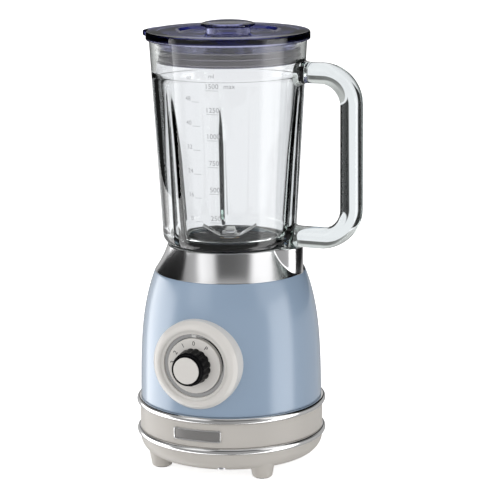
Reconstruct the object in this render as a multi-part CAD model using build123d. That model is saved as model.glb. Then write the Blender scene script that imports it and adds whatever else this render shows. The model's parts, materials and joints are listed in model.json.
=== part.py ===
from build123d import *
import os
from math import cos, radians, sin

# Countertop blender with a glass jar.  Millimetres.  The origin is on the upright axis of the
# motor and jar, at the height of the worktop.  +Z is up, the dial faces -Y, the handle is at +X.

# Used all over
past = 1.0                 # how far a cutter runs beyond the face that it leaves
clearance = 0.2            # round a screw in the hole of the part that it holds
running_gap = 0.05         # between a part that moves and what guides it
screw_gap = 0.05
bearing_fit = 0.02
quarters = (0, 90, 180, 270)

# Heights, stacked from the worktop up
foot_height = 9.0          # worktop to the underside of the pan
pan_height = 17.4
trim_ring_height = 6.0
band_height = 22.2
housing_height = 118.2
collar_height = 24.8
jar_gap = 0.8              # between the collar and the glass above it
jar_height = 185.8         # glass above the collar
mouth_depth = 32.5         # lid ledge below the jar's rim
lid_gap = 0.4              # between the jar's rim and the lid

# Base
body_radius = 83.2         # housing at its foot
housing_lean = 1.8         # how far the housing tapers evenly
housing_shoulder = 12.8    # how far its shoulder draws in on top of that
shoulder_power = 3.5
wall = 3.0
band_proud = 0.9
ring_proud = 3.8
ring_depth = 6.0
pan_round = 15.0
foot_circle = 69.7
foot_bottom_radius = 9.0
foot_taper = 10.0          # degrees
foot_edge = 0.8            # foot's rim above the worktop
foot_round = 1.2
foot_angles = (45, 135, 225, 315)
foot_names = ("rear_right", "rear_left", "front_left", "front_right")
pad_radius = 7.0
pad_thickness = 3.0
pillar_radius = 5.0
pillar_angles = (15, 105, 195, 285)
pillar_overlap = 0.4       # how far the pillar runs into the wall
pillar_rise = 17.0         # pillar above the housing's lower edge
boss_top = 12.9            # pan boss above the pan's underside
pan_screw_radius = 2.0
pan_screw_head = 4.0
pan_screw_cap = 2.4        # height of the head
pan_screw_seat = 5.0       # underside of the pan to the head
pan_screw_reach = 12.0     # thread above the pan's boss
vent_count = 7
vent_pitch = 8.0
vent_length = 44.0
vent_width = 3.0

# Circuit board on the pan
board_x = 28.0             # screws from the middle
board_y = 32.0
board_edge = 5.0           # screws from the board's edge
board_thickness = 1.6
board_hole_radius = 1.5
board_post_radius = 3.0
board_post_bore = 1.2
board_post_height = 8.0
board_screw_radius = 1.15
board_screw_head = 2.6
board_screw_cap = 1.6
board_screw_depth = 6.0
capacitor_place = (14, 10)
capacitor_radius = 7.0
capacitor_height = 12.0
choke_place = (-14, -8)
choke_radii = (4.0, 9.0)
choke_height = 8.0
driver_place = (-13, 16)
driver_size = (14.0, 8.0, 5.0)

# Cord gland at the back of the band
gland_radius = 6.0
gland_flange = 9.0
gland_bore = 3.6
gland_proud = 2.0

# Collar and the boss under the handle
collar_top_radius = 56.4
collar_waist_radius = 60.6
collar_waist_share = 0.55  # height of the waist within the collar
collar_wall = 1.5
boss_radius = 22.6
boss_reach = 69.6

# Jar seat
seat_drop = 5.8            # seat flange below the collar's lower edge
seat_floor = 3.0
socket_radius = 52.6
socket_wall = 1.7
seat_flange_gap = 1.6
seat_ledge = 8.0
seat_ledge_height = 3.2
ledge_inset = 0.5          # the ledge stops this far inside the wall's outer face
seat_screw_radius = 1.75
seat_screw_head = 3.2
seat_screw_cap = 1.8
seat_screw_depth = 5.0
seat_screw_edge = 0.6      # extra edge outside the screws
socket_top_gap = 0.6       # between the socket and the collar's upper edge
seat_screw_angles = (60, 150, 240, 330)
drain_radius = 9.0

# Dial, measured along -Y from the axis
dial_height = 108.2
bezel_radius = 40.5
bezel_crest_radius = 34.0
bezel_stand = 8.6
bezel_edge_stand = 2.6
bezel_inner_drop = 2.0     # inner edge below the crest
bezel_arch = (0.3, 2.2, 2.6)   # middle of the inner slope, then of the outer one
bezel_depth = 30.0         # blank's depth before it is cut to the housing
sleeve_depth = 16.0
sleeve_top_drop = 4.0
web_height = 2.0           # floor of the dial
web_stand = 0.2            # floor above the housing's surface
sleeve_radius = 30.7
sleeve_wall = 1.8
sleeve_gap = 0.3
dial_ring_width = 3.3
dial_ring_gap = 0.1
dial_ring_height = 2.2
index_width = 4.4
index_depth = 2.8
index_height = 0.8
dial_plate_radius = 25.0
dial_plate_gap = 0.5       # between the plate and the dial's floor
dial_plate_height = 3.4
dial_plate_skin = 1.0      # plate over the hollow for the nut
dial_plate_round = 0.8
nut_gap = 1.6              # round the nut, in the plate's hollow
knob_radius = 16.5
knob_cap_radius = 14.2
knob_disc_radius = 12.0
knob_length = 14.0
knob_cap_length = 3.6
knob_disc_length = 0.8
knob_disc_seat = 1.0       # how deep the disc is let in
knob_disc_round = 0.5
knob_flutes = 16
flute_radius = 2.0
flute_offset = 0.9         # middle of a flute outside the knob's edge
knob_front_wall = 2.0      # knob in front of the spindle
spindle_radius = 3.0
switch_size = 34.0
switch_depth = 16.0
bush_radius = 4.5
bush_stand = 2.2           # bush in front of the dial's floor
switch_floor = 6.0         # switch behind the spindle's bore
spindle_end_gap = 0.3
switch_nut_radius = 6.9
switch_nut_height = 2.0

# Badge on the band
badge_width = 45.0
badge_height = 11.0
badge_proud = 1.2
badge_border = 1.6
badge_rim = 0.7            # rim in front of the plate
badge_round = 2.0

# Motor, hung under the jar seat
post_circle = 44.0
post_radius = 5.0
post_length = 13.0
mount_height = 6.0
mount_radius = 7.0
bracket_radius = 40.0
bracket_height = 4.0
motor_screw_radius = 1.8
motor_screw_head = 3.6
motor_screw_cap = 2.2
motor_screw_reach = 9.0    # thread in the post
mount_gap = 0.3            # round the screw, in the rubber
ear_edge = 1.0             # bracket's ear outside the rubber
shaft_radius = 4.0
bearing_radius = 11.0
bearing_height = 7.0
bearing_wall = 3.0
bearing_drop = 1.0         # upper bearing below its bracket's face
shaft_clearance = 2.0      # round the shaft, in the brackets
shaft_end = 1.5            # shaft below the lower bearing
leg_circle = 31.0
leg_radius = 4.0
leg_length = 30.0
leg_overlap = 1.0          # leg into its plate
bolt_radius = 1.7
bolt_gap = 0.1
bolt_head = 3.4
bolt_cap = 2.5
bolt_nut_height = 3.0
bolt_end = 4.0             # bolt below the lower bracket
stator_radius = 37.0
stator_height = 36.0
core_radius = 20.0
air_gap = 0.6
coil_height = 7.0
coil_gap = 0.6
coil_round = 1.5
winding_start = 4.0        # windings outside the shaft
winding_edge = 3.0         # windings inside the core's edge
commutator_radius = 11.0
commutator_height = 14.0
commutator_gap = 1.0       # above the windings
commutator_bars = 12
bar_slot_width = 0.6
bar_slot_depth = 0.8
bar_slot_start = 2.0
fan_radius = 25.0
fan_height = 12.0
fan_blades = 9
fan_rise = 6.0             # fan above the lower bracket
fan_hub = 5.0
fan_plate = 1.6
fan_blade_thickness = 1.6
fan_blade_edge = 0.6       # blades inside the plate's edge
brush_size = 6.0
brush_length = 16.0
brush_gap = 0.35
brush_fit = 0.2
holder_wall = 2.0
holder_start = 2.5         # holder outside the commutator
holder_end = 4.0           # holder beyond the brush
holder_back = 2.0

# Coupling between motor and jar
coupler_lobes = 6
coupler_radius = 11.5
coupler_lobe_radius = 2.6
coupler_height = 8.0
coupler_gap = 0.6
coupler_rise = 1.0         # coupler's foot above the seat
coupler_foot = 2.8         # round foot under the star
coupler_foot_step = 1.0    # foot narrower than the star
coupler_cap = 1.5          # star over the end of the shaft
driven_radius = 17.0
driven_wall = 4.0
driven_lift = 0.6          # cup above the lower edge of the star

# Interlock pin that the jar holds down
pin_radius = 2.5
pin_collar = 4.2
pin_collar_height = 2.0
pin_collar_drop = 3.6      # collar below the seat with the pin fully up
pin_travel = 3.0
pin_circle = 45.0
pin_gap = 0.05
interlock_drop = 24.0      # switch's underside below the seat
interlock_height = 12.0
interlock_half = 5.0
interlock_reach = (-4.0, 9.0)  # body from the pin's axis, across
interlock_arm = 3.0
pin_end_gap = 0.5          # between the pin's end and the switch
spring_radius = 3.6
spring_wire = 0.5
spring_turns = 6

# Jar
jar_foot_radius = 60.6
jar_foot_round = 8.0
jar_mouth_radius = 71.0
glass_wall = 5.5
rim_round = 2.0
glass_floor = 5.0
bowl_rise = 6.0            # straight wall starts this far above the foot's rounding
bowl_step = 4.0
neck_chamfer = 1.0
ledge_slope = 2.0
neck_radius = 49.0
neck_wall = 6.0
thread_gap = 0.3
retainer_gap = 0.3         # jar's ring above the seat floor
retainer_lip = 5.0
retainer_lip_width = 12.0
retainer_top_gap = 1.0
retainer_side_gap = 1.0
retainer_notches = 6
notch_depth = 1.0
notch_width = 8.0
notch_start = 6.0          # notch above the ring's underside
flange_height = 3.0
seal_height = 1.5
seal_gap = 0.2
base_wall = 2.4
base_dome = 3.0
base_edge_drop = 1.4       # floor's edge below the jar's foot
base_arch = (0.55, 0.9)    # dome's middle: share of the radius, and drop from the top
hub_wall = 3.0
hub_gap = 1.0              # between the coupler and the hub above it
rib_count = 3
rib_radius = 5.0
rib_tip_radius = 0.8
rib_drop = 50.0            # rib's tip below the jar's rim
groove_radius = 4.0
groove_depth = 2.5
rib_bite = 1.0             # rib's tip into the glass
groove_tip_stand = 0.4     # groove's tip outside the glass

# Handle
handle_reach = 126.2
handle_depth = 18.6
handle_width = 24.0
handle_round = 7.5
handle_bend = 28.0
handle_low = 8.6           # lower arm's middle above the jar's foot
handle_high = 28.8         # upper arm's middle below the jar's rim
root_radius = 13.5
root_length = 9.0
root_bite = 3.0            # handle into the glass

# Blades
blade_spindle_radius = 4.0
bush_outer = 9.0
blade_thickness = 1.5
blade_width = 12.0
blade_root = 9.5
blade_reach = 19.0
blade_upper_angle = 32.0
blade_lower_angle = 12.0
blade_nut_radius = 7.0
blade_upper_turn = 20.0
blade_lower_turn = 110.0
blade_tip = 8.0            # cut back at the leading edge
blade_tip_back = 3.0
blade_tip_low = 2.0
blade_upper_hub = 8.5
blade_nut_height = 4.5
blade_nut_gap = 1.0        # spindle above the nut
blade_lift = 1.6
bush_stand_up = 0.4        # bush above the floor
spindle_start = 1.0        # spindle's end above the coupler's roof

# Lid and measuring cap
lid_radius = 73.8
lid_drop = 1.2             # lid's edge below the jar's rim
lid_plate = 3.4
lid_top = 6.2              # lid's upper face above its underside
lid_recess_radius = 43.5
lid_edge_round = 2.4
lid_side_gap = 0.6
skirt_depth = 21.0
skirt_radius = 62.4
skirt_wall = 1.8
recess_chamfer = 2.0
gasket_height = 12.0
gasket_gap = 0.4
gasket_rise = 1.0          # gasket above the skirt's edge
fin_bite = 0.5             # fin into the gasket's body
gasket_fins = 3
fin_height = 1.6
fin_depth = 1.4
tab_reach = 80.5
tab_width = 22.0
tab_height = 4.6
tab_drop = 1.0             # tab below the lid's upper face
filler_radius = 19.7
filler_wall = 2.3
filler_depth = 10.5
cap_radius = 24.5
cap_neck_radius = 20.4
cap_gap = 0.4
cap_rest_gap = 0.2         # cap above the recess
cap_arch = (0.55, 0.72)    # dome's middle: share of the radius, and of the rise
cap_wall = 1.6
cap_neck_height = 6.2
cap_flange = 1.8
cap_dome = 3.2
cap_depth = 22.0

# Levels that follow from the stack
pan_z = foot_height
lower_ring_z = pan_z + pan_height
band_z = lower_ring_z + trim_ring_height
upper_ring_z = band_z + band_height
housing_z = upper_ring_z + trim_ring_height
collar_z = housing_z + housing_height
collar_top = collar_z + collar_height
jar_z = collar_top + jar_gap
jar_top = jar_z + jar_height
seat_z = collar_z - seat_drop
seat_top = seat_z + seat_floor
band_radius = body_radius + band_proud
ring_radius = body_radius + ring_proud
pillar_circle = body_radius - wall - pillar_radius + pillar_overlap
board_z = pan_z + wall + board_post_height
board_top = board_z + board_thickness
dial_surface = body_radius - housing_lean * (dial_height - housing_z) / housing_height - (
    housing_shoulder * ((dial_height - housing_z) / housing_height) ** shoulder_power
)
dial_web = dial_surface + web_stand
dial_front = dial_web + web_height
knob_back = dial_front + dial_plate_gap + dial_plate_height
sleeve_inner = sleeve_radius - sleeve_wall

# Motor levels, from the seat down
post_z = seat_z - post_length
upper_bracket_top = post_z - mount_height
upper_bracket_z = upper_bracket_top - bracket_height
stator_top = upper_bracket_z - leg_length
stator_z = stator_top - stator_height
lower_bracket_top = stator_z - leg_length
lower_bracket_z = lower_bracket_top - bracket_height
upper_bearing_z = upper_bracket_top - bearing_drop
lower_bearing_z = lower_bracket_z - bearing_height
commutator_z = stator_top + coil_height + commutator_gap
brush_z = commutator_z + commutator_height / 2
coupler_z = seat_top + coupler_rise
star_z = coupler_z + coupler_foot
star_top = star_z + coupler_height
cup_roof = star_top + coupler_gap
interlock_z = seat_z - interlock_drop
interlock_top = interlock_z + interlock_height
pin_collar_z = seat_z - pin_travel - pin_collar_drop

# Jar's underside, from the seat up
retainer_z = seat_top + retainer_gap
flange_z = retainer_z + retainer_lip
seal_z = flange_z + flange_height
neck_z = seal_z + seal_height
neck_inner = neck_radius - neck_wall
base_radius = neck_inner - thread_gap
base_edge_z = jar_z - base_edge_drop
base_top = base_edge_z + base_dome
hub_z = cup_roof + driven_wall + hub_gap
blade_z = base_top + bush_stand_up + blade_lift
ledge_z = jar_top - mouth_depth
lid_z = jar_top + lid_gap
recess_z = lid_z + lid_plate
mouth_inner = jar_mouth_radius - glass_wall


def lathe(*corners):
    """Solid turned about Z from (radius, height) corners."""
    return revolve(Plane.XZ * make_face(Polyline(*corners, close=True)), Axis.Z)


def turned(*edges):
    """Solid turned about Z from a closed run of (radius, height) edges."""
    return revolve(Plane.XZ * make_face(Curve() + [*edges]), Axis.Z)


def tube(inner, outer, low, high):
    return lathe((inner, low), (outer, low), (outer, high), (inner, high))


def rod(radius, low, high):
    return Pos(0, 0, low) * extrude(Circle(radius), high - low)


def block(x0, x1, y0, y1, z0, z1):
    middle = Pos((x0 + x1) / 2, (y0 + y1) / 2, (z0 + z1) / 2)
    return middle * Box(x1 - x0, y1 - y0, z1 - z0)


def polar(radius, angle):
    return Pos(radius * cos(radians(angle)), radius * sin(radians(angle)), 0)


def spread(piece, angles):
    """The piece turned about Z to each angle."""
    return [Rot(0, 0, angle) * piece for angle in angles]


def screw(shank, head, low, high, head_length):
    """Screw with its head at the low end."""
    return rod(shank, low, high) + rod(head, low - head_length, low)


def facing_front(piece):
    """Turn a piece built along +Z so that it lies along -Y at the dial's height."""
    return Pos(0, 0, dial_height) * Rot(90, 0, 0) * piece


def housing_radius(height):
    rise = (height - housing_z) / housing_height
    return body_radius - housing_lean * rise - housing_shoulder * rise**shoulder_power


def housing_curve(inset):
    steps = 8
    heights = [housing_z + housing_height * step / steps for step in range(steps + 1)]
    return Spline(*[(housing_radius(height) - inset, height) for height in heights])


def housing_form(inset):
    """The housing's outline as a full solid, drawn in by the inset."""
    curve = housing_curve(inset)
    path = Polyline(curve @ 1, (0, collar_z), (0, housing_z), curve @ 0)
    return turned(curve, path)


def collar_form(inset):
    """The flared collar with its boss, as a full solid drawn in by the inset."""
    foot = housing_radius(collar_z) - inset
    waist_z = collar_z + collar_height * collar_waist_share
    arc = ThreePointArc(
        (foot, collar_z), (collar_waist_radius - inset, waist_z), (collar_top_radius - inset, collar_top)
    )
    flare = turned(arc, Polyline(arc @ 1, (0, collar_top), (0, collar_z), arc @ 0))
    boss = Pos(boss_reach - boss_radius, 0, 0) * rod(boss_radius - inset, collar_z, collar_top - inset)
    return flare + boss


def jar_radius(height):
    share = (height - jar_z - jar_foot_round) / (jar_height - jar_foot_round)
    return jar_foot_radius + (jar_mouth_radius - jar_foot_radius) * share


def pan_form(inset):
    """The pan's bowl as a full solid, drawn in by the inset."""
    top = lower_ring_z + inset
    bowl = rod(band_radius - inset, pan_z + inset, top)
    return fillet(bowl.edges().sort_by(Axis.Z)[0], pan_round - inset)


def base_pan():
    pan = pan_form(0) - pan_form(wall)
    boss = polar(pillar_circle, 0) * rod(pillar_radius, pan_z, pan_z + boss_top)
    bosses = [pan_form(0) & piece for piece in spread(boss, pillar_angles)]
    pan = pan + bosses + board_posts()
    recess = polar(pillar_circle, 0) * rod(pan_screw_head + clearance, 0, pan_z + pan_screw_seat)
    hole = polar(pillar_circle, 0) * rod(pan_screw_radius + clearance, 0, lower_ring_z)
    pan = pan - spread(recess + hole, pillar_angles)
    return pan - pan_vents()


def pan_vents():
    slots = []
    for row in range(vent_count):
        y = (row - (vent_count - 1) / 2) * vent_pitch
        slot = extrude(SlotOverall(vent_length, vent_width), wall + 2 * past)
        slots.append(Pos(0, y, pan_z - past) * slot)
    return slots


def board_corners(piece):
    return [Pos(x, y, 0) * piece for x in (-board_x, board_x) for y in (-board_y, board_y)]


def board_posts():
    bore = rod(board_post_bore, board_z - board_screw_depth, board_z + past)
    return board_corners(rod(board_post_radius, pan_z + past, board_z) - bore)


def circuit_board():
    half_x = board_x + board_edge
    half_y = board_y + board_edge
    board = block(-half_x, half_x, -half_y, half_y, board_z, board_top)
    board = board - board_corners(rod(board_hole_radius, board_z - past, board_top + past))
    capacitor = Pos(*capacitor_place, 0) * rod(capacitor_radius, board_top, board_top + capacitor_height)
    choke = Pos(*choke_place, 0) * tube(*choke_radii, board_top, board_top + choke_height)
    driver = Pos(*driver_place, board_top + driver_size[2] / 2) * Box(*driver_size)
    return board, capacitor, choke, driver


def board_screws():
    shank = rod(board_screw_radius, board_top - board_screw_depth, board_top)
    return board_corners(shank + rod(board_screw_head, board_top, board_top + board_screw_cap))


def foot(angle):
    height = pan_z + pan_round / 2 - foot_edge
    stem = Pos(0, 0, foot_edge) * extrude(Circle(foot_bottom_radius), height, taper=-foot_taper)
    stem = fillet(stem.edges().sort_by(Axis.Z)[0], foot_round)
    stem = stem - rod(pad_radius + screw_gap, 0, pad_thickness)
    return polar(foot_circle, angle) * stem - pan_form(0)


def foot_pads():
    return spread(polar(foot_circle, 0) * rod(pad_radius, 0, pad_thickness), foot_angles)


def pan_screws():
    low = pan_z + pan_screw_seat
    high = pan_z + boss_top + pan_screw_reach
    piece = screw(pan_screw_radius, pan_screw_head, low, high, pan_screw_cap)
    return spread(polar(pillar_circle, 0) * piece, pillar_angles)


def trim_ring(low):
    """Half-round ring that hugs the band's edge."""
    inner = band_radius - ring_depth / 2
    high = low + trim_ring_height
    middle = (ring_radius, low + trim_ring_height / 2)
    arc = ThreePointArc((band_radius, low), middle, (band_radius, high))
    return turned(arc, Polyline(arc @ 1, (inner, high), (inner, low), arc @ 0))


def facing_rear(piece):
    """Turn a piece built along +Z so that it lies along +Y at the band's middle."""
    return Pos(0, 0, band_z + band_height / 2) * Rot(-90, 0, 0) * piece


def trim_band():
    band = tube(band_radius - wall, band_radius, band_z, upper_ring_z)
    return band - facing_rear(rod(gland_radius + screw_gap, band_radius - 2 * wall, band_radius + past))


def cord_gland():
    flange = rod(gland_flange, band_radius - wall, band_radius + gland_proud)
    flange = facing_rear(flange) - rod(band_radius, 0, collar_z)
    stem = facing_rear(rod(gland_radius, band_radius - 2 * wall, band_radius + gland_proud))
    return flange + stem - facing_rear(rod(gland_bore, 0, band_radius + gland_proud + past))


def badge_outline(inset):
    """The badge's outline as a bar that runs forwards through the band."""
    width = badge_width - 2 * inset
    height = badge_height - 2 * inset
    bar = extrude(RectangleRounded(width, height, badge_round - inset), ring_radius)
    return Pos(0, 0, band_z + band_height / 2) * Rot(90, 0, 0) * bar


def badge_plate():
    """Blank plate with a raised rim, curved to the band."""
    face = band_radius + badge_proud
    solid = tube(band_radius, face + badge_rim, band_z, upper_ring_z) & badge_outline(0)
    return solid - (tube(face, ring_radius, band_z, upper_ring_z) & badge_outline(badge_border))


def motor_housing():
    shell = housing_form(0) - housing_form(wall)
    ledge_inner = seat_screw_circle() - seat_ledge / 2
    ledge = tube(ledge_inner, body_radius, seat_z - seat_ledge_height, seat_z)
    pillar_low = pan_z + boss_top
    pillar = rod(pillar_radius, pillar_low, housing_z + pillar_rise)
    hole = rod(pan_screw_radius + screw_gap, 0, pillar_low + pan_screw_reach + 2 * past)
    screws = rod(seat_screw_radius + screw_gap, seat_z - seat_screw_depth - past, seat_z + past)
    shell = shell + (ledge & housing_form(ledge_inset))
    shell = shell + spread(polar(pillar_circle, 0) * pillar, pillar_angles)
    shell = shell - spread(polar(pillar_circle, 0) * hole, pillar_angles)
    shell = shell - spread(polar(seat_screw_circle(), 0) * screws, seat_screw_angles)
    return shell - facing_front(rod(sleeve_radius + sleeve_gap, switch_size, body_radius + past))


def seat_flange_radius():
    return housing_radius(seat_top) - wall - seat_flange_gap


def seat_screw_circle():
    return seat_flange_radius() - seat_ledge / 2 - seat_screw_edge


def steel_collar():
    opening = rod(collar_top_radius - collar_wall, collar_z - past, jar_z)
    return collar_form(0) - collar_form(collar_wall) - opening


def jar_seat():
    """Floor under the jar with the socket round it and the posts that hold the motor."""
    seat = rod(seat_flange_radius(), seat_z, seat_top)
    seat = seat + tube(socket_radius, socket_radius + socket_wall, seat_z, collar_top - socket_top_gap)
    seat = seat + post_places(rod(post_radius, post_z, seat_z + past))
    seat = seat - post_places(rod(motor_screw_radius + screw_gap, post_z - past, seat_z - past))
    seat = seat - rod(drain_radius, seat_z - past, seat_top + past)
    seat = seat - pin_place(rod(pin_radius + running_gap, 0, seat_top + past))
    hole = rod(seat_screw_radius + clearance, seat_z - past, seat_top + past)
    return seat - spread(polar(seat_screw_circle(), 0) * hole, seat_screw_angles)


def seat_screws():
    shank = rod(seat_screw_radius, seat_z - seat_screw_depth, seat_top)
    piece = shank + rod(seat_screw_head, seat_top, seat_top + seat_screw_cap)
    return spread(polar(seat_screw_circle(), 0) * piece, seat_screw_angles)


def post_places(piece):
    return spread(polar(post_circle, 45) * piece, quarters)


def leg_places(piece):
    return spread(polar(leg_circle, 45) * piece, quarters)


def motor_mounts():
    return post_places(tube(motor_screw_radius + mount_gap, mount_radius, upper_bracket_top, post_z))


def motor_screws():
    high = post_z + motor_screw_reach
    piece = screw(motor_screw_radius, motor_screw_head, upper_bracket_z, high, motor_screw_cap)
    return post_places(piece)


def bracket(plate_z, boss_z, boss_end, leg_z, leg_end):
    """Bearing plate with its boss and the four legs that stand against the stator."""
    boss = rod(bearing_radius + bearing_wall, boss_z, boss_end)
    plate = rod(bracket_radius, plate_z, plate_z + bracket_height)
    plate = plate + boss + leg_places(rod(leg_radius, leg_z, leg_end))
    return plate - leg_places(rod(bolt_radius + bolt_gap, 0, seat_z))


def upper_bracket():
    boss_end = upper_bearing_z + bearing_height
    leg_end = upper_bracket_z + leg_overlap
    plate = bracket(upper_bracket_z, upper_bracket_z, boss_end, stator_top, leg_end)
    plate = plate + post_places(rod(mount_radius + ear_edge, upper_bracket_z, upper_bracket_top))
    plate = plate - post_places(rod(motor_screw_radius + clearance, upper_bracket_z - past, seat_z))
    plate = plate - rod(bearing_radius + bearing_fit, upper_bearing_z, seat_z)
    return plate - rod(shaft_radius + shaft_clearance, 0, seat_z)


def lower_bracket():
    leg_low = lower_bracket_top - leg_overlap
    plate = bracket(lower_bracket_z, lower_bearing_z, lower_bracket_top, leg_low, stator_z)
    plate = plate - rod(bearing_radius + bearing_fit, 0, lower_bracket_z)
    return plate - rod(shaft_radius + shaft_clearance, 0, seat_z)


def bearing(low):
    return tube(shaft_radius + running_gap, bearing_radius, low, low + bearing_height)


def motor_bolts():
    top = upper_bracket_top
    low = lower_bracket_z
    bolt = rod(bolt_radius, low - bolt_end, top) + rod(bolt_head, top, top + bolt_cap)
    nut = Pos(0, 0, low - bolt_nut_height) * extrude(RegularPolygon(bolt_head, 6), bolt_nut_height)
    return leg_places(bolt + nut)


def stator():
    ring = tube(core_radius + air_gap, stator_radius, stator_z, stator_top)
    return ring - leg_places(rod(bolt_radius + bolt_gap, stator_z - past, stator_top + past))


def coil_ends(inner, outer):
    """A rounded coil on each end of the core."""
    ends = []
    for low in (stator_top, stator_z - coil_height):
        coil = tube(inner, outer, low, low + coil_height)
        ends.append(fillet(coil.edges(), coil_round))
    return ends


def field_coils():
    return coil_ends(core_radius + air_gap + coil_gap, leg_circle - leg_radius - coil_gap)


def rotor_core():
    return tube(shaft_radius, core_radius, stator_z, stator_top)


def rotor_windings():
    return coil_ends(shaft_radius + winding_start, core_radius - winding_edge)


def commutator():
    top = commutator_z + commutator_height
    drum = tube(shaft_radius, commutator_radius, commutator_z, top)
    half = bar_slot_width / 2
    slot = block(-bar_slot_depth, past, -half, half, commutator_z + bar_slot_start, top + past)
    slot = Pos(commutator_radius, 0, 0) * slot
    return drum - spread(slot, [bar * 360 / commutator_bars for bar in range(commutator_bars)])


def cooling_fan():
    low = lower_bracket_top + fan_rise
    hub_radius = shaft_radius + fan_hub
    hub = tube(shaft_radius, hub_radius, low, low + fan_height)
    plate = tube(shaft_radius, fan_radius, low, low + fan_plate)
    half = fan_blade_thickness / 2
    blade = block(hub_radius - past, fan_radius - fan_blade_edge, -half, half, low, low + fan_height)
    return hub + plate + spread(blade, [step * 360 / fan_blades for step in range(fan_blades)])


def motor_shaft():
    return rod(shaft_radius, lower_bearing_z - shaft_end, star_top - coupler_cap)


def brush_holders():
    half = brush_size / 2 + holder_wall
    start = commutator_radius + holder_start
    end = start + brush_length
    body = block(start, end + holder_end, -half, half, brush_z - half, upper_bracket_z)
    slot = brush_size / 2 + brush_fit
    channel = block(start - past, end + holder_back, -slot, slot, brush_z - slot, brush_z + slot)
    return spread(body - channel, (0, 180))


def carbon_brushes():
    half = brush_size / 2
    start = commutator_radius + brush_gap
    brush = block(start, start + brush_length, -half, half, brush_z - half, brush_z + half)
    return spread(brush, (0, 180))


def lobed(radius, lobe, low, high):
    """Star with rounded lobes, as the couplers have."""
    star = rod(radius - lobe, low, high)
    step = 360 / coupler_lobes
    lobes = [polar(radius - lobe, n * step) * rod(lobe, low, high) for n in range(coupler_lobes)]
    return star + lobes


def drive_coupler():
    star = lobed(coupler_radius, coupler_lobe_radius, star_z, star_top)
    collar = rod(coupler_radius - coupler_foot_step, coupler_z, star_z)
    return star + collar - rod(shaft_radius, 0, star_top - coupler_cap)


def driven_coupler():
    low = star_z + driven_lift
    cup = rod(driven_radius, low, cup_roof + driven_wall)
    lobe = coupler_lobe_radius + coupler_gap
    socket = lobed(coupler_radius + coupler_gap, lobe, low - past, cup_roof)
    return cup - socket - rod(blade_spindle_radius, cup_roof + spindle_start, jar_top)


def pin_place(piece):
    return Pos(pin_circle, 0, 0) * piece


def interlock_pin():
    stem = rod(pin_radius, interlock_top + pin_end_gap, retainer_z - pin_gap)
    return pin_place(stem + rod(pin_collar, pin_collar_z, pin_collar_z + pin_collar_height))


def interlock_spring():
    low = interlock_top + spring_wire
    height = pin_collar_z - spring_wire - low
    coil = Helix(height / spring_turns, height, spring_radius)
    start = Plane(coil @ 0, z_dir=coil % 0)
    return pin_place(Pos(0, 0, low) * sweep(start * Circle(spring_wire), path=coil))


def interlock_switch():
    near, far = interlock_reach
    half = interlock_half
    body = block(near, far, -half, half, interlock_z, interlock_top)
    arm = block(far - interlock_arm, far, -half, half, interlock_top - past, seat_z)
    return pin_place(body + arm)


def dial_bezel():
    """Domed ring round the dial, with the sleeve and floor that carry the switch."""
    crest = dial_surface + bezel_stand
    back = dial_surface - bezel_depth
    inner_drop, outer_in, outer_drop = bezel_arch
    inner_middle = ((sleeve_inner + bezel_crest_radius) / 2, crest - inner_drop)
    inner_arc = ThreePointArc(
        (sleeve_inner, crest - bezel_inner_drop), inner_middle, (bezel_crest_radius, crest)
    )
    outer_middle = (bezel_radius - outer_in, crest - outer_drop)
    edge = (bezel_radius, dial_surface + bezel_edge_stand)
    outer_arc = ThreePointArc((bezel_crest_radius, crest), outer_middle, edge)
    path = Polyline(edge, (bezel_radius, back), (sleeve_inner, back), inner_arc @ 0)
    dome = facing_front(turned(inner_arc, outer_arc, path)) - housing_form(0)
    sleeve = tube(sleeve_inner, sleeve_radius, dial_surface - sleeve_depth, crest - sleeve_top_drop)
    web = rod(sleeve_inner + sleeve_wall / 2, dial_web, dial_front)
    web = web - rod(bush_radius + bolt_gap, 0, crest)
    return dome + facing_front(sleeve + web)


def dial_ring():
    outer = sleeve_inner - dial_ring_gap
    return facing_front(
        tube(outer - dial_ring_width, outer, dial_front, dial_front + dial_ring_height)
    )


def index_mark():
    middle = sleeve_inner - dial_ring_gap - dial_ring_width / 2
    back = dial_front + dial_ring_height
    mark = Box(index_width, index_depth, index_height)
    return facing_front(Pos(0, middle, back + index_height / 2) * mark)


def dial_plate():
    back = dial_front + dial_plate_gap
    hollow_radius = switch_nut_radius + nut_gap
    plate = rod(dial_plate_radius, back, knob_back)
    plate = plate - rod(hollow_radius, back - past, knob_back - dial_plate_skin)
    rim = plate.edges().filter_by(GeomType.CIRCLE).sort_by(Axis.Z)[-1]
    plate = fillet(rim, dial_plate_round)
    return facing_front(plate - rod(spindle_radius, 0, knob_back + past))


def speed_switch():
    back = dial_web - switch_depth
    half = switch_size / 2
    body = block(-half, half, -half, half, back, dial_web)
    bush = rod(bush_radius, dial_web - past, dial_front + bush_stand)
    bore = rod(spindle_radius + running_gap, back + switch_floor, knob_back)
    return facing_front(body + bush - bore)


def switch_nut():
    nut = extrude(RegularPolygon(switch_nut_radius, 6), switch_nut_height)
    return facing_front(Pos(0, 0, dial_front) * (nut - rod(bush_radius, -past, switch_nut_height + past)))


def switch_spindle():
    back = dial_web - switch_depth + switch_floor + spindle_end_gap
    return facing_front(rod(spindle_radius, back, knob_back + knob_length - knob_front_wall))


def knob_grip():
    """Fluted grip with a smooth cap that holds the disc."""
    front = knob_back + knob_length
    cap_front = front + knob_cap_length
    skirt = rod(knob_radius, knob_back, front)
    flute = polar(knob_radius + flute_offset, 0) * rod(flute_radius, knob_back - past, front + past)
    flutes = spread(flute, [step * 360 / knob_flutes for step in range(knob_flutes)])
    cap = rod(knob_cap_radius, front - past, cap_front)
    recess = rod(knob_disc_radius, cap_front - knob_disc_seat, cap_front + past)
    bore = rod(spindle_radius, knob_back - past, front - knob_front_wall)
    return facing_front(skirt - flutes + cap - recess - bore)


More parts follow.
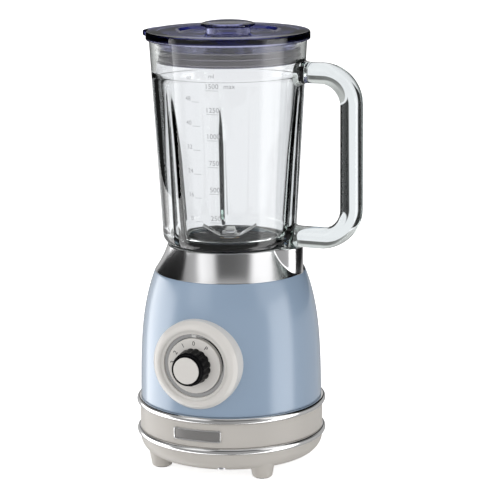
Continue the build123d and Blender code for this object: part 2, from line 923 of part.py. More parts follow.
def knob_disc():
    low = knob_back + knob_length + knob_cap_length - knob_disc_seat
    disc = rod(knob_disc_radius, low, low + knob_disc_seat + knob_disc_length)
    return facing_front(fillet(disc.edges().sort_by(Axis.Z)[-1], knob_disc_round))


def quarter_round(radius, height, size, up):
    """Corner arc of a turned outline; it ends at the radius, and runs upwards or inwards."""
    middle = (radius - 0.3 * size, height + 0.3 * size * up)
    start = (radius - size, height)
    end = (radius, height + size * up)
    return ThreePointArc(start, middle, end) if up > 0 else ThreePointArc(end, middle, start)


def jar_body():
    """The glass wall with its neck, before ribs and handle."""
    wall_z = jar_z + jar_foot_round
    bowl_z = wall_z + bowl_rise
    floor_z = jar_z + glass_floor
    foot = quarter_round(jar_foot_radius, jar_z, jar_foot_round, 1)
    rim = quarter_round(jar_mouth_radius, jar_top, rim_round, -1)
    path = Polyline(
        rim @ 1,
        (mouth_inner, jar_top),
        (mouth_inner, ledge_z),
        (jar_radius(ledge_z) - glass_wall, ledge_z - ledge_slope),
        (jar_radius(bowl_z) - glass_wall, bowl_z),
        (neck_inner + bowl_step, floor_z),
        (neck_inner, floor_z - neck_chamfer),
        (neck_inner, neck_z),
        (neck_radius, neck_z),
        (neck_radius, jar_z),
        foot @ 0,
    )
    return turned(foot, Line(foot @ 1, rim @ 0), rim, path)


def slanted(low_radius, low_z, high_radius, high_z, thick, thin):
    """Tapered bar leaning along the jar's wall, at angle 0."""
    start = Vector(low_radius, 0, low_z)
    run = Vector(high_radius, 0, high_z) - start
    plane = Plane(start, x_dir=(0, 1, 0), z_dir=run.normalized())
    return plane * Cone(thick, thin, run.length, align=(Align.CENTER, Align.CENTER, Align.MIN))


def rib():
    low = jar_z + glass_floor - past
    high = jar_top - rib_drop
    low_radius = jar_radius(low) - glass_wall
    high_radius = jar_radius(high) - glass_wall + rib_bite
    return slanted(low_radius, low, high_radius, high, rib_radius, rib_tip_radius)


def groove():
    low = jar_z - past
    high = jar_top - rib_drop
    low_radius = jar_radius(low) + groove_radius - groove_depth
    high_radius = jar_radius(high) + groove_tip_stand
    return slanted(low_radius, low, high_radius, high, groove_radius, rib_tip_radius)


def handle_axis():
    """Middle line of the handle: out along the upper arm, down the grip and back in."""
    high = jar_top - handle_high
    low = jar_z + handle_low
    grip = handle_reach - handle_depth / 2
    return FilletPolyline(
        (jar_radius(high) - root_bite, 0, high),
        (grip, 0, high),
        (grip, 0, low),
        (jar_radius(low) - root_bite, 0, low),
        radius=handle_bend,
    )


def handle_root(height):
    """Cone that spreads one end of the handle onto the glass."""
    along = (Align.CENTER, Align.CENTER, Align.MIN)
    root = Rot(0, 90, 0) * Cone(root_radius, handle_depth / 2, root_length, align=along)
    return Pos(jar_radius(height) - root_bite, 0, height) * root


def handle():
    line = handle_axis()
    outline = RectangleRounded(handle_width, handle_depth, handle_round)
    section = Plane(line @ 0, x_dir=(0, 1, 0), z_dir=line % 0) * outline
    bar = sweep(section, path=line)
    roots = [handle_root(jar_top - handle_high), handle_root(jar_z + handle_low)]
    split_z = jar_z + jar_height / 3
    inside = rod(jar_foot_radius - root_bite, 0, split_z) + rod(mouth_inner - past, split_z, jar_top)
    below = block(0, handle_reach, -boss_reach, boss_reach, collar_z, jar_z)
    return bar + [root - inside for root in roots] - below


def jar():
    angles = [step * 360 / rib_count for step in range(rib_count)]
    glass = jar_body() + spread(rib(), angles)
    glass = glass - spread(groove(), angles)
    return glass + handle()


def blade_base():
    """Cup that closes the jar's neck, with a domed floor and a hub for the spindle."""
    share, drop = base_arch
    dome = ThreePointArc((base_radius, base_edge_z), (base_radius * share, base_top - drop), (0, base_top))
    under = base_edge_z - base_wall
    inner = base_radius - base_wall
    path = Polyline(
        dome @ 1,
        (0, under),
        (inner, under),
        (inner, flange_z),
        (neck_radius, flange_z),
        (neck_radius, seal_z),
        (base_radius, seal_z),
        dome @ 0,
    )
    hub = rod(bush_outer + hub_wall, hub_z, base_edge_z)
    return turned(dome, path) + hub - rod(bush_outer + bearing_fit, 0, jar_top)


def jar_seal():
    return tube(base_radius + seal_gap, neck_radius, seal_z, neck_z)


def retaining_ring():
    """Ring that holds the blade base in the neck, notched for grip."""
    outer = socket_radius - retainer_side_gap
    inner = neck_radius + thread_gap
    lip = inner - retainer_lip_width
    top = jar_z - retainer_top_gap
    ring = lathe(
        (lip, retainer_z), (outer, retainer_z), (outer, top), (inner, top), (inner, flange_z), (lip, flange_z)
    )
    half = notch_width / 2
    notch = block(-notch_depth, past, -half, half, retainer_z + notch_start, jar_z)
    step = 360 / retainer_notches
    return ring - spread(Pos(outer, 0, 0) * notch, [(n + 1 / 3) * step for n in range(retainer_notches)])


def spindle_bush():
    return tube(blade_spindle_radius + running_gap, bush_outer, hub_z, base_top + bush_stand_up)


def blade_spindle():
    top = blade_z + 2 * blade_thickness + blade_nut_height
    return rod(blade_spindle_radius, cup_roof + spindle_start, top)


def blade_pair(low, tilt, turn, hub_radius):
    """Two-winged blade: flat at the hub, its wings bent up to the tilt, their tips cut back."""
    half = blade_width / 2
    outline = Polyline(
        (0, -half),
        (blade_reach - blade_tip, -half),
        (blade_reach, half - blade_tip_low),
        (blade_reach - blade_tip_back, half),
        (0, half),
        close=True,
    )
    wing = Pos(blade_root, 0, low) * Rot(0, -tilt, 0) * extrude(make_face(outline), blade_thickness)
    top = low + blade_thickness
    piece = rod(hub_radius, low, top) + block(0, blade_root + bolt_gap, -half, half, low, top) + wing
    whole = piece + Rot(0, 0, 180) * piece
    return Rot(0, 0, turn) * (whole - rod(blade_spindle_radius, 0, jar_top))


def lower_blades():
    return blade_pair(blade_z, blade_lower_angle, blade_lower_turn, blade_root)


def upper_blades():
    return blade_pair(blade_z + blade_thickness, blade_upper_angle, blade_upper_turn, blade_upper_hub)


def blade_nut():
    low = blade_z + 2 * blade_thickness
    nut = extrude(RegularPolygon(blade_nut_radius, 6), blade_nut_height - blade_nut_gap)
    return Pos(0, 0, low) * nut - rod(blade_spindle_radius, 0, jar_top)


def lid():
    """The lid with its skirt, its recess, the tube for the cap and the lifting tab."""
    top = lid_z + lid_top
    inner = skirt_radius - skirt_wall
    rim_inner = jar_mouth_radius + lid_side_gap
    edge = quarter_round(lid_radius, top, lid_edge_round, -1)
    filler_outer = filler_radius + filler_wall
    path = Polyline(
        edge @ 1,
        (lid_recess_radius + recess_chamfer, top),
        (lid_recess_radius, recess_z),
        (filler_radius, recess_z),
        (filler_radius, lid_z - filler_depth),
        (filler_outer, lid_z - filler_depth),
        (filler_outer, lid_z),
        (inner, lid_z),
        (inner, lid_z - skirt_depth),
        (skirt_radius, lid_z - skirt_depth),
        (skirt_radius, lid_z),
        (rim_inner, lid_z),
        (rim_inner, jar_top - lid_drop),
        (lid_radius, jar_top - lid_drop),
        edge @ 0,
    )
    tab_top = top - tab_drop
    tab = rod(tab_width / 2, tab_top - tab_height, tab_top)
    tab = Pos(-tab_reach + tab_width / 2, 0, 0) * tab
    return turned(edge, path) + (tab - rod(rim_inner, 0, top))


def lid_gasket():
    outer = mouth_inner - gasket_gap
    body = outer - fin_depth
    low = lid_z - skirt_depth + gasket_rise
    gasket = tube(skirt_radius, body, low, low + gasket_height)
    pitch = (gasket_height - fin_height) / (gasket_fins - 1)
    fin = tube(body - fin_bite, outer, low, low + fin_height)
    return gasket + [Pos(0, 0, n * pitch) * fin for n in range(gasket_fins)]


def lid_cap():
    """Measuring cap: a cup, open below, under a domed flange."""
    stem = filler_radius - cap_gap
    inner = stem - cap_wall
    rest = recess_z + cap_rest_gap
    under = rest + cap_neck_height
    top = under + cap_flange
    low = recess_z - cap_depth
    share, rise = cap_arch
    arc = ThreePointArc(
        (cap_radius, top), (cap_radius * share, top + cap_dome * rise), (0, top + cap_dome)
    )
    dome = turned(arc, Polyline(arc @ 1, (0, top), arc @ 0))
    cup = lathe(
        (0, top),
        (0, under),
        (inner, under),
        (inner, low),
        (stem, low),
        (stem, rest),
        (cap_neck_radius, rest),
        (cap_neck_radius, under),
        (cap_radius, under),
        (cap_radius, top),
    )
    return cup + dome


def write(name, solids):
    """Write one node, as a single solid or as a group of separate ones."""
    if isinstance(solids, (list, tuple)):
        solids = Compound(children=[piece for solid in solids for piece in solid.solids()])
    export_step(solids, f"parts/{name}.step")


os.makedirs("parts", exist_ok=True)
for name, angle in zip(foot_names, foot_angles):
    write(f"foot_{name}", foot(angle))
write("foot_pads", foot_pads())
write("base_pan", base_pan())
write("pan_screws", pan_screws())
write("trim_ring_lower", trim_ring(lower_ring_z))
write("trim_band", trim_band())
write("trim_ring_upper", trim_ring(upper_ring_z))
write("badge_plate", badge_plate())
write("cord_gland", cord_gland())
write("motor_housing", motor_housing())
write("steel_collar", steel_collar())
write("jar_seat", jar_seat())
write("seat_screws", seat_screws())
write("circuit_board", circuit_board())
write("board_screws", board_screws())
write("motor_mounts", motor_mounts())
write("motor_screws", motor_screws())
write("upper_bracket", upper_bracket())
write("lower_bracket", lower_bracket())
write("upper_bearing", bearing(upper_bearing_z))
write("lower_bearing", bearing(lower_bearing_z))
write("motor_bolts", motor_bolts())
write("stator", stator())
write("field_coils", field_coils())
write("brush_holders", brush_holders())
write("carbon_brushes", carbon_brushes())
write("interlock_switch", interlock_switch())
write("interlock_pin", interlock_pin())
write("interlock_spring", interlock_spring())
write("dial_bezel", dial_bezel())
write("dial_ring", dial_ring())
write("index_mark", index_mark())
write("speed_switch", speed_switch())
write("switch_nut", switch_nut())
write("switch_spindle", switch_spindle())
write("dial_plate", dial_plate())
write("knob_grip", knob_grip())
write("knob_disc", knob_disc())
write("motor_shaft", motor_shaft())
write("rotor_core", rotor_core())
write("rotor_windings", rotor_windings())
write("commutator", commutator())
write("cooling_fan", cooling_fan())
write("drive_coupler", drive_coupler())
write("jar", jar())
write("blade_base", blade_base())
write("jar_seal", jar_seal())
write("retaining_ring", retaining_ring())
write("spindle_bush", spindle_bush())
write("blade_spindle", blade_spindle())
write("driven_coupler", driven_coupler())
write("lower_blades", lower_blades())
write("upper_blades", upper_blades())
write("blade_nut", blade_nut())
write("lid", lid())
write("lid_gasket", lid_gasket())
write("lid_cap", lid_cap())
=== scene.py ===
"""Looks of a retro countertop blender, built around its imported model.

Every sub-assembly is a class that knows its own sizes, models its meshes with bmesh operators and
dresses them.  Lengths are metres unless a name says otherwise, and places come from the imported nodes.
"""

import json
import logging
from dataclasses import dataclass, field
from enum import Enum
from math import atan2, cos, exp, hypot, pi, radians, sin, sqrt, tan

import bmesh
import bpy
from mathutils import Matrix, Vector


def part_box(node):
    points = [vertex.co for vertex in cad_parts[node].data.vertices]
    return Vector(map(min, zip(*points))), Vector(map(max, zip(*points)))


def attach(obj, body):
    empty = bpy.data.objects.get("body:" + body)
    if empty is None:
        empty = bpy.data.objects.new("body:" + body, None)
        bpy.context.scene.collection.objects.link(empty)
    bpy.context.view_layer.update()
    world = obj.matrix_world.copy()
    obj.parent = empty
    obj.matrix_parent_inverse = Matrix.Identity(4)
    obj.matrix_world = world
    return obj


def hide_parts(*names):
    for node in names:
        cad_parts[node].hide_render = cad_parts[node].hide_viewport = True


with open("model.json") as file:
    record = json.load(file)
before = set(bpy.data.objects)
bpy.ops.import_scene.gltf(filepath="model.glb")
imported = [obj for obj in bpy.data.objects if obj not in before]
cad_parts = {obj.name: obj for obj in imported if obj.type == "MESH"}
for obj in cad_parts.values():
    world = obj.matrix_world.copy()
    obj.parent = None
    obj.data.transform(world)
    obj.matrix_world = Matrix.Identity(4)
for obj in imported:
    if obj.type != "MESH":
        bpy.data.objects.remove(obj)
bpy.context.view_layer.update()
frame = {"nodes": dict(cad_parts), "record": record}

log = logging.getLogger("blender_looks")

MM = 0.001
ROUND_STEPS = 6
FINE = 256
MEDIUM = 128
SMALL = 64
SMOOTH_ANGLE = radians(38)
BUMP_DEPTH = 0.2 * MM
MERGE = 1e-6

Point = tuple[float, float]
Color = tuple[float, float, float]


class Body(str, Enum):
    """The moving bodies that the modelled pieces ride on."""

    BASE = "base"
    KNOB = "knob"
    JAR = "jar"
    BLADES = "blades"
    LID = "lid"
    CAP = "cap"


class Grain(Enum):
    """How a finish's fine texture runs."""

    SPECKLE = (1.0, 1.0, 1.0)
    TURNED = (0.03, 0.03, 1.0)
    STACKED = (0.02, 0.02, 1.0)
    WOUND = (1.0, 1.0, 0.08)


def low(node: str) -> Vector:
    """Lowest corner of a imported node."""
    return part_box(node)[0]


def high(node: str) -> Vector:
    """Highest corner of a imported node."""
    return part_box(node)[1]


# --------------------------------------------------------------------------- shader node groups


def feed(tree: bpy.types.NodeTree, socket: bpy.types.NodeSocket, value) -> None:
    """Link a socket to an input, or set the input to a plain value."""
    if isinstance(value, bpy.types.NodeSocket):
        tree.links.new(value, socket)
    else:
        socket.default_value = value


def add_node(tree: bpy.types.NodeTree, kind: str, settings: dict | None = None, **inputs):
    """Add a node, set it up and feed its inputs.

    Args:
        tree: The tree to add to.
        kind: The node's type, without its prefix.
        settings: The node's own settings, such as its operation.
        inputs: Sockets or values by input name with _ for a space, or by place as i0, i1 and so on.

    Returns:
        The node.
    """
    node = tree.nodes.new("ShaderNode" + kind)
    for label, value in (settings or {}).items():
        setattr(node, label, value)
    for label, value in inputs.items():
        key = int(label[1:]) if label[1:].isdigit() else label.replace("_", " ")
        feed(tree, node.inputs[key], value)
    return node


def math_node(tree: bpy.types.NodeTree, operation: str, first, second) -> bpy.types.NodeSocket:
    """Work out an operation on two sockets or numbers, and return its output socket."""
    return add_node(tree, "Math", {"operation": operation}, i0=first, i1=second).outputs[0]


def vector_node(tree: bpy.types.NodeTree, operation: str, **inputs) -> bpy.types.Node:
    """Add a vector math node."""
    return add_node(tree, "VectorMath", {"operation": operation}, **inputs)


def mix_node(tree: bpy.types.NodeTree, share, first, second) -> bpy.types.NodeSocket:
    """Mix two colours by a share, and return the mixed colour's socket."""
    return add_node(tree, "Mix", {"data_type": "RGBA"}, Factor=share, A=first, B=second).outputs["Result"]


def shader_mix(tree: bpy.types.NodeTree, share, first, second) -> bpy.types.Node:
    """Mix the shaders of two nodes by a share, and return the mix node."""
    return add_node(tree, "MixShader", i0=share, i1=first.outputs[0], i2=second.outputs[0])


def rise_node(tree: bpy.types.NodeTree, value, start: float, full: float, kind: str = "LINEAR"):
    """Rise from 0 to 1 while a value goes from start to full, and return the output socket."""
    settings = {"interpolation_type": kind}
    return add_node(tree, "MapRange", settings, Value=value, From_Min=start, From_Max=full).outputs[0]


def object_place(tree: bpy.types.NodeTree) -> bpy.types.NodeSocket:
    """The place on the object itself, as a socket."""
    return add_node(tree, "TexCoord").outputs["Object"]


def new_group(name: str, inputs: dict, output: str, kind: str) -> bpy.types.NodeTree:
    """Make an empty shader group.

    Args:
        name: The group's name.
        inputs: Input names with their defaults, a number or a colour each.
        output: The output's name.
        kind: The output's socket type.

    Returns:
        The group, with an input node called "in" and an output node called "out".
    """
    tree = bpy.data.node_groups.new(name, "ShaderNodeTree")
    for label, value in inputs.items():
        type_name = "NodeSocketFloat" if isinstance(value, float) else "NodeSocketColor"
        socket = tree.interface.new_socket(name=label, in_out="INPUT", socket_type=type_name)
        socket.default_value = value
    tree.interface.new_socket(name=output, in_out="OUTPUT", socket_type=kind)
    tree.nodes.new("NodeGroupInput").name = "in"
    tree.nodes.new("NodeGroupOutput").name = "out"
    return tree


def grain_group() -> bpy.types.NodeTree:
    """Fine texture: an even noise whose stretch sets which way the grain runs."""
    tree = new_group(
        "fine_grain", {"Size": 2000.0, "Stretch X": 1.0, "Stretch Y": 1.0, "Stretch Z": 1.0, "Detail": 3.0},
        "Height", "NodeSocketFloat",
    )
    given = tree.nodes["in"].outputs
    stretch = add_node(tree, "CombineXYZ", **{axis: given[f"Stretch {axis}"] for axis in "XYZ"})
    scaled = vector_node(tree, "MULTIPLY", i0=object_place(tree), i1=stretch.outputs[0])
    noise = add_node(tree, "TexNoise", Vector=scaled.outputs[0], Scale=given["Size"], Detail=given["Detail"])
    feed(tree, tree.nodes["out"].inputs["Height"], noise.outputs["Fac"])
    return tree


def handling_group() -> bpy.types.NodeTree:
    """Broad uneven patches, as wiping and handling leave on a surface."""
    tree = new_group(
        "handling_marks", {"Scale": 18.0, "Amount": 0.05, "Base": 0.3}, "Roughness", "NodeSocketFloat"
    )
    given = tree.nodes["in"].outputs
    noise = add_node(
        tree, "TexNoise", Vector=object_place(tree), Scale=given["Scale"], Detail=5.0, Distortion=0.6
    )
    centred = math_node(tree, "SUBTRACT", noise.outputs["Fac"], 0.5)
    scaled = math_node(tree, "MULTIPLY", centred, given["Amount"])
    feed(tree, tree.nodes["out"].inputs["Roughness"], math_node(tree, "ADD", scaled, given["Base"]))
    return tree


def tint_group() -> bpy.types.NodeTree:
    """Slight drift of a colour between a lighter and a darker shade."""
    tree = new_group(
        "tint_drift", {"Light": (1.0, 1.0, 1.0, 1.0), "Dark": (0.9, 0.9, 0.9, 1.0), "Scale": 30.0},
        "Color", "NodeSocketColor",
    )
    given = tree.nodes["in"].outputs
    noise = add_node(tree, "TexNoise", Vector=object_place(tree), Scale=given["Scale"], Detail=4.0)
    mixed = mix_node(tree, noise.outputs["Fac"], given["Light"], given["Dark"])
    feed(tree, tree.nodes["out"].inputs["Color"], mixed)
    return tree


GRAIN = grain_group()
HANDLING = handling_group()
TINT = tint_group()


# --------------------------------------------------------------------------- finishes

FINISHED: dict[str, bpy.types.Material] = {}


@dataclass(frozen=True)
class Finish:
    """A finish of one kind of surface: two close shades, a roughness and a fine grain."""

    name: str
    light: Color
    dark: Color
    roughness: float = 0.4
    metallic: float = 0.0
    uneven: float = 0.06
    coat: float = 0.0
    coat_roughness: float = 0.05
    grain: Grain = Grain.SPECKLE
    grain_size: float = 2500.0
    bump: float = 0.05
    tint_scale: float = 30.0
    ior: float = 1.48

    def build(self) -> bpy.types.Material:
        """Make the node-based material, or return it when it is there already."""
        if self.name in FINISHED:
            return FINISHED[self.name]
        material = FINISHED[self.name] = bpy.data.materials.new(self.name)
        material.use_nodes = True
        tree = material.node_tree
        shader = tree.nodes["Principled BSDF"]
        light, dark = (*self.light, 1), (*self.dark, 1)
        tint = add_node(tree, "Group", {"node_tree": TINT}, Light=light, Dark=dark, Scale=self.tint_scale)
        marks = add_node(tree, "Group", {"node_tree": HANDLING}, Amount=self.uneven, Base=self.roughness)
        x, y, z = self.grain.value
        grain = add_node(
            tree, "Group", {"node_tree": GRAIN}, Size=self.grain_size, Stretch_X=x, Stretch_Y=y, Stretch_Z=z
        )
        bump = add_node(tree, "Bump", Strength=self.bump, Distance=BUMP_DEPTH, Height=grain.outputs["Height"])
        for label, value in (
            ("Metallic", self.metallic), ("IOR", self.ior), ("Coat Weight", self.coat),
            ("Coat Roughness", self.coat_roughness), ("Base Color", tint.outputs["Color"]),
            ("Roughness", marks.outputs["Roughness"]), ("Normal", bump.outputs["Normal"]),
        ):
            feed(tree, shader.inputs[label], value)
        self.extra(tree, shader)
        return material

    def extra(self, tree: bpy.types.NodeTree, shader: bpy.types.Node) -> None:
        """Further shader settings, for finishes that need them."""


@dataclass(frozen=True)
class ClearFinish(Finish):
    """Clear glass or plastic, tinted by its thickness."""

    absorb: Color = (0.8, 0.9, 0.85)
    density: float = 10.0
    transmission: float = 1.0

    def extra(self, tree: bpy.types.NodeTree, shader: bpy.types.Node) -> None:
        """Let light through and tint what travels inside."""
        shader.inputs["Transmission Weight"].default_value = self.transmission
        if self.density > 0:
            volume = add_node(tree, "VolumeAbsorption", Color=(*self.absorb, 1), Density=self.density)
            feed(tree, tree.nodes["Material Output"].inputs["Volume"], volume.outputs[0])


@dataclass(frozen=True)
class Palette:
    """Every finish on the object."""

    lacquer: Finish = Finish(
        "powder_blue_lacquer", (0.360, 0.480, 0.640), (0.349, 0.468, 0.625), 0.36, 0.0, 0.05, 1.0, 0.13,
        bump=0.02, grain_size=3000, tint_scale=14,
    )
    cream: Finish = Finish(
        "cream_moulding", (0.715, 0.680, 0.635), (0.690, 0.655, 0.610), 0.42, bump=0.03, ior=1.4,
    )
    dial_cream: Finish = Finish(
        "dial_cream", (0.910, 0.880, 0.840), (0.895, 0.865, 0.825), 0.30, bump=0.02, coat=0.2,
    )
    chrome: Finish = Finish(
        "trim_chrome", (0.72, 0.72, 0.72), (0.68, 0.68, 0.68), 0.09, 1.0, 0.04, bump=0.01,
    )
    collar: Finish = Finish(
        "collar_steel", (0.74, 0.74, 0.745), (0.70, 0.70, 0.71), 0.17, 1.0, 0.05,
        grain=Grain.TURNED, grain_size=3500, bump=0.05,
    )
    badge: Finish = Finish("badge_metal", (0.36, 0.35, 0.345), (0.31, 0.30, 0.295), 0.35, 0.6, bump=0.06)
    black: Finish = Finish(
        "knob_black", (0.004, 0.004, 0.005), (0.006, 0.006, 0.007), 0.25, bump=0.03, ior=1.1
    )
    glass: ClearFinish = ClearFinish(
        "clear_glass", (1.0, 1.0, 1.0), (0.985, 0.992, 0.988), 0.0, uneven=0.0, bump=0.004, grain_size=60,
        ior=1.5, absorb=(0.50, 0.80, 0.68), density=7.0,
    )
    smoke: ClearFinish = ClearFinish(
        "smoky_lid", (0.93, 0.92, 0.97), (0.90, 0.89, 0.95), 0.03, uneven=0.01, bump=0.004, grain_size=80,
        ior=1.49, absorb=(0.15, 0.20, 0.62), density=130.0,
    )
    gasket: ClearFinish = ClearFinish(
        "gasket_silicone", (0.62, 0.59, 0.58), (0.57, 0.54, 0.53), 0.28, bump=0.02, ior=1.41,
        absorb=(0.6, 0.55, 0.55), density=30.0, transmission=0.75,
    )
    lens: ClearFinish = ClearFinish(
        "index_lens", (0.95, 0.94, 0.92), (0.92, 0.91, 0.89), 0.08, uneven=0.02, density=0.0,
        transmission=0.2,
    )
    blade: Finish = Finish(
        "blade_steel", (0.80, 0.80, 0.80), (0.75, 0.75, 0.75), 0.12, 1.0, bump=0.04, grain=Grain.TURNED,
    )
    base_grey: Finish = Finish(
        "base_grey", (0.040, 0.042, 0.036), (0.034, 0.036, 0.030), 0.45, bump=0.05, ior=1.03
    )
    ink: Finish = Finish("scale_ink", (0.50, 0.51, 0.53), (0.46, 0.47, 0.49), 0.5, bump=0.01)
    dial_ink: Finish = Finish("dial_ink", (0.03, 0.03, 0.03), (0.04, 0.04, 0.04), 0.5, bump=0.01)
    dark_plastic: Finish = Finish("dark_moulding", (0.03, 0.03, 0.032), (0.04, 0.04, 0.042), 0.5, bump=0.12)
    rubber: Finish = Finish("black_rubber", (0.025, 0.025, 0.026), (0.032, 0.032, 0.033), 0.75, bump=0.2)
    zinc: Finish = Finish("zinc_screw", (0.62, 0.62, 0.64), (0.50, 0.51, 0.55), 0.3, 1.0, bump=0.1)
    ground_steel: Finish = Finish(
        "ground_steel", (0.60, 0.60, 0.61), (0.54, 0.54, 0.55), 0.22, 1.0, grain=Grain.TURNED, bump=0.1,
    )
    cast: Finish = Finish(
        "cast_aluminium", (0.60, 0.60, 0.60), (0.50, 0.50, 0.50), 0.45, 1.0, bump=0.35, grain_size=900
    )
    lamination: Finish = Finish(
        "sheet_stack", (0.16, 0.16, 0.17), (0.10, 0.10, 0.11), 0.42, 0.8, grain=Grain.STACKED,
        grain_size=1600, bump=0.6,
    )
    copper: Finish = Finish(
        "enamelled_copper", (0.52, 0.20, 0.07), (0.38, 0.13, 0.04), 0.28, 0.85, grain=Grain.WOUND,
        grain_size=1800, bump=0.7,
    )
    bars: Finish = Finish(
        "copper_bars", (0.66, 0.33, 0.18), (0.52, 0.24, 0.12), 0.25, 1.0, grain=Grain.TURNED, bump=0.2
    )
    carbon: Finish = Finish("graphite", (0.045, 0.045, 0.047), (0.06, 0.06, 0.062), 0.6, bump=0.2)
    board: Finish = Finish("circuit_board", (0.02, 0.12, 0.05), (0.015, 0.09, 0.04), 0.35, bump=0.1)
    bronze: Finish = Finish("sintered_bronze", (0.45, 0.28, 0.12), (0.36, 0.22, 0.09), 0.42, 1.0, bump=0.4)
    wire: Finish = Finish("spring_wire", (0.60, 0.60, 0.60), (0.52, 0.52, 0.52), 0.25, 1.0, bump=0.05)


PALETTE = Palette()

SLOT_FINISH: dict[str, Finish] = {
    "body_paint": PALETTE.lacquer,
    "cream_plastic": PALETTE.cream,
    "trim_chrome": PALETTE.chrome,
    "collar_steel": PALETTE.collar,
    "badge_metal": PALETTE.badge,
    "dial_cream": PALETTE.dial_cream,
    "dial_chrome": PALETTE.chrome,
    "index_clear": PALETTE.lens,
    "knob_black": PALETTE.black,
    "clear_glass": PALETTE.glass,
    "lid_smoke": PALETTE.smoke,
    "gasket_clear": PALETTE.gasket,
    "blade_steel": PALETTE.blade,
    "base_grey": PALETTE.base_grey,
    "black_plastic": PALETTE.dark_plastic,
    "black_rubber": PALETTE.rubber,
    "screw_steel": PALETTE.zinc,
    "shaft_steel": PALETTE.ground_steel,
    "cast_bracket": PALETTE.cast,
    "lamination": PALETTE.lamination,
    "copper": PALETTE.copper,
    "commutator_copper": PALETTE.bars,
    "carbon": PALETTE.carbon,
    "board_green": PALETTE.board,
    "bronze": PALETTE.bronze,
    "spring_steel": PALETTE.wire,
}


# --------------------------------------------------------------------------- modelling helpers


def rounded(corners: list[tuple], steps: int = ROUND_STEPS) -> list[Point]:
    """Round the corners of a closed outline.

    Args:
        corners: (radius, height) or (radius, height, rounding) in metres.
        steps: Points on each rounded corner, less one.

    Returns:
        The outline's points, with an arc in place of each rounded corner.
    """
    points: list[Point] = []
    count = len(corners)
    for index, corner in enumerate(corners):
        here = Vector(corner[:2])
        if len(corner) < 3 or corner[2] <= 0:
            points.append(tuple(here))
            continue
        before = (Vector(corners[index - 1][:2]) - here).normalized()
        after = (Vector(corners[(index + 1) % count][:2]) - here).normalized()
        half = before.angle(after) / 2
        reach = corner[2] / max(0.05, sin(half) / cos(half)) if half < pi / 2 - 1e-4 else 0
        centre = here + (before + after).normalized() * (corner[2] / sin(half))
        start = here + before * reach - centre
        end = here + after * reach - centre
        sweep = start.angle_signed(end)
        for step in range(steps + 1):
            turned = Matrix.Rotation(-sweep * step / steps, 2) @ start
            points.append(tuple(centre + turned))
    return points


def curve_points(start: float, end: float, steps: int, shape) -> list[Point]:
    """Points of a formula curve between two heights.

    Args:
        start: First height.
        end: Last height.
        steps: Number of stretches.
        shape: Gives the radius at a height.

    Returns:
        (radius, height) points.
    """
    heights = [start + (end - start) * step / steps for step in range(steps + 1)]
    return [(shape(height), height) for height in heights]


def arc(centre: Point, radii: Point, start: float, end: float, steps: int) -> list[Point]:
    """Points of an elliptic arc.

    Args:
        centre: Its (radius, height) centre.
        radii: Half its width and half its height.
        start: First angle in degrees, from outwards towards up.
        end: Last angle in degrees.
        steps: Number of stretches.

    Returns:
        (radius, height) points.
    """
    angles = [radians(start + (end - start) * step / steps) for step in range(steps + 1)]
    return [(centre[0] + radii[0] * cos(angle), centre[1] + radii[1] * sin(angle)) for angle in angles]


def lathe(points: list[Point], segments: int = MEDIUM) -> bmesh.types.BMesh:
    """Spin a closed (radius, height) outline about Z.

    Args:
        points: The outline, in order.
        segments: Steps round the axis.

    Returns:
        The turned shape, closed, with its doubles merged and faces outwards.
    """
    bm = bmesh.new()
    ring = [bm.verts.new((radius, 0, height)) for radius, height in points]
    edges = [bm.edges.new((ring[i - 1], ring[i])) for i in range(len(ring))]
    bmesh.ops.spin(
        bm, geom=ring + edges, cent=(0, 0, 0), axis=(0, 0, 1), dvec=(0, 0, 0), angle=2 * pi,
        steps=segments, use_merge=True, use_normal_flip=False, use_duplicate=False,
    )
    return tidy(bm)


def tidy(bm: bmesh.types.BMesh) -> bmesh.types.BMesh:
    """Merge doubles, drop flat faces and turn the normals outwards."""
    bmesh.ops.remove_doubles(bm, verts=bm.verts, dist=MERGE)
    bmesh.ops.dissolve_degenerate(bm, edges=bm.edges, dist=MERGE)
    bmesh.ops.recalc_face_normals(bm, faces=bm.faces)
    return bm


def facing_front() -> Matrix:
    """Places what was built along +Z so that it lies along -Y at the dial's height."""
    centre = (low("dial_bezel") + high("dial_bezel")) / 2
    return Matrix.Translation((0, 0, centre.z)) @ Matrix.Rotation(pi / 2, 4, "X")


def piece(
    name: str,
    bm: bmesh.types.BMesh,
    finish: Finish,
    body: Body,
    nodes: tuple[str, ...] = (),
    place: Matrix | None = None,
    angle: float = SMOOTH_ANGLE,
) -> bpy.types.Object:
    """Turn a bmesh into a finished piece that rides on a body.

    Args:
        name: The piece's name.
        bm: Its shape, which is freed here.
        finish: Its finish.
        body: The body that it moves with.
        nodes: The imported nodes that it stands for.
        place: Where it goes, baked into the mesh.
        angle: Edges sharper than this stay sharp.

    Returns:
        The new object.
    """
    if place is not None:
        bmesh.ops.transform(bm, matrix=place, verts=bm.verts)
    mesh = bpy.data.meshes.new(name)
    bm.to_mesh(mesh)
    bm.free()
    return adopt(name, mesh, finish, body, nodes, angle)


def adopt(
    name: str,
    mesh: bpy.types.Mesh,
    finish: Finish,
    body: Body,
    nodes: tuple[str, ...] = (),
    angle: float = SMOOTH_ANGLE,
) -> bpy.types.Object:
    """Dress a finished mesh and hang it on its body."""
    mesh.name = name
    mesh.materials.clear()
    mesh.materials.append(finish.build())
    mesh.polygons.foreach_set("use_smooth", [True] * len(mesh.polygons))
    mesh.set_sharp_from_angle(angle=angle)
    obj = bpy.data.objects.new(name, mesh)
    bpy.context.scene.collection.objects.link(obj)
    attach(obj, body.value)
    if nodes:
        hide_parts(*nodes)
    log.info("%s: %d faces", name, len(mesh.polygons))
    return obj


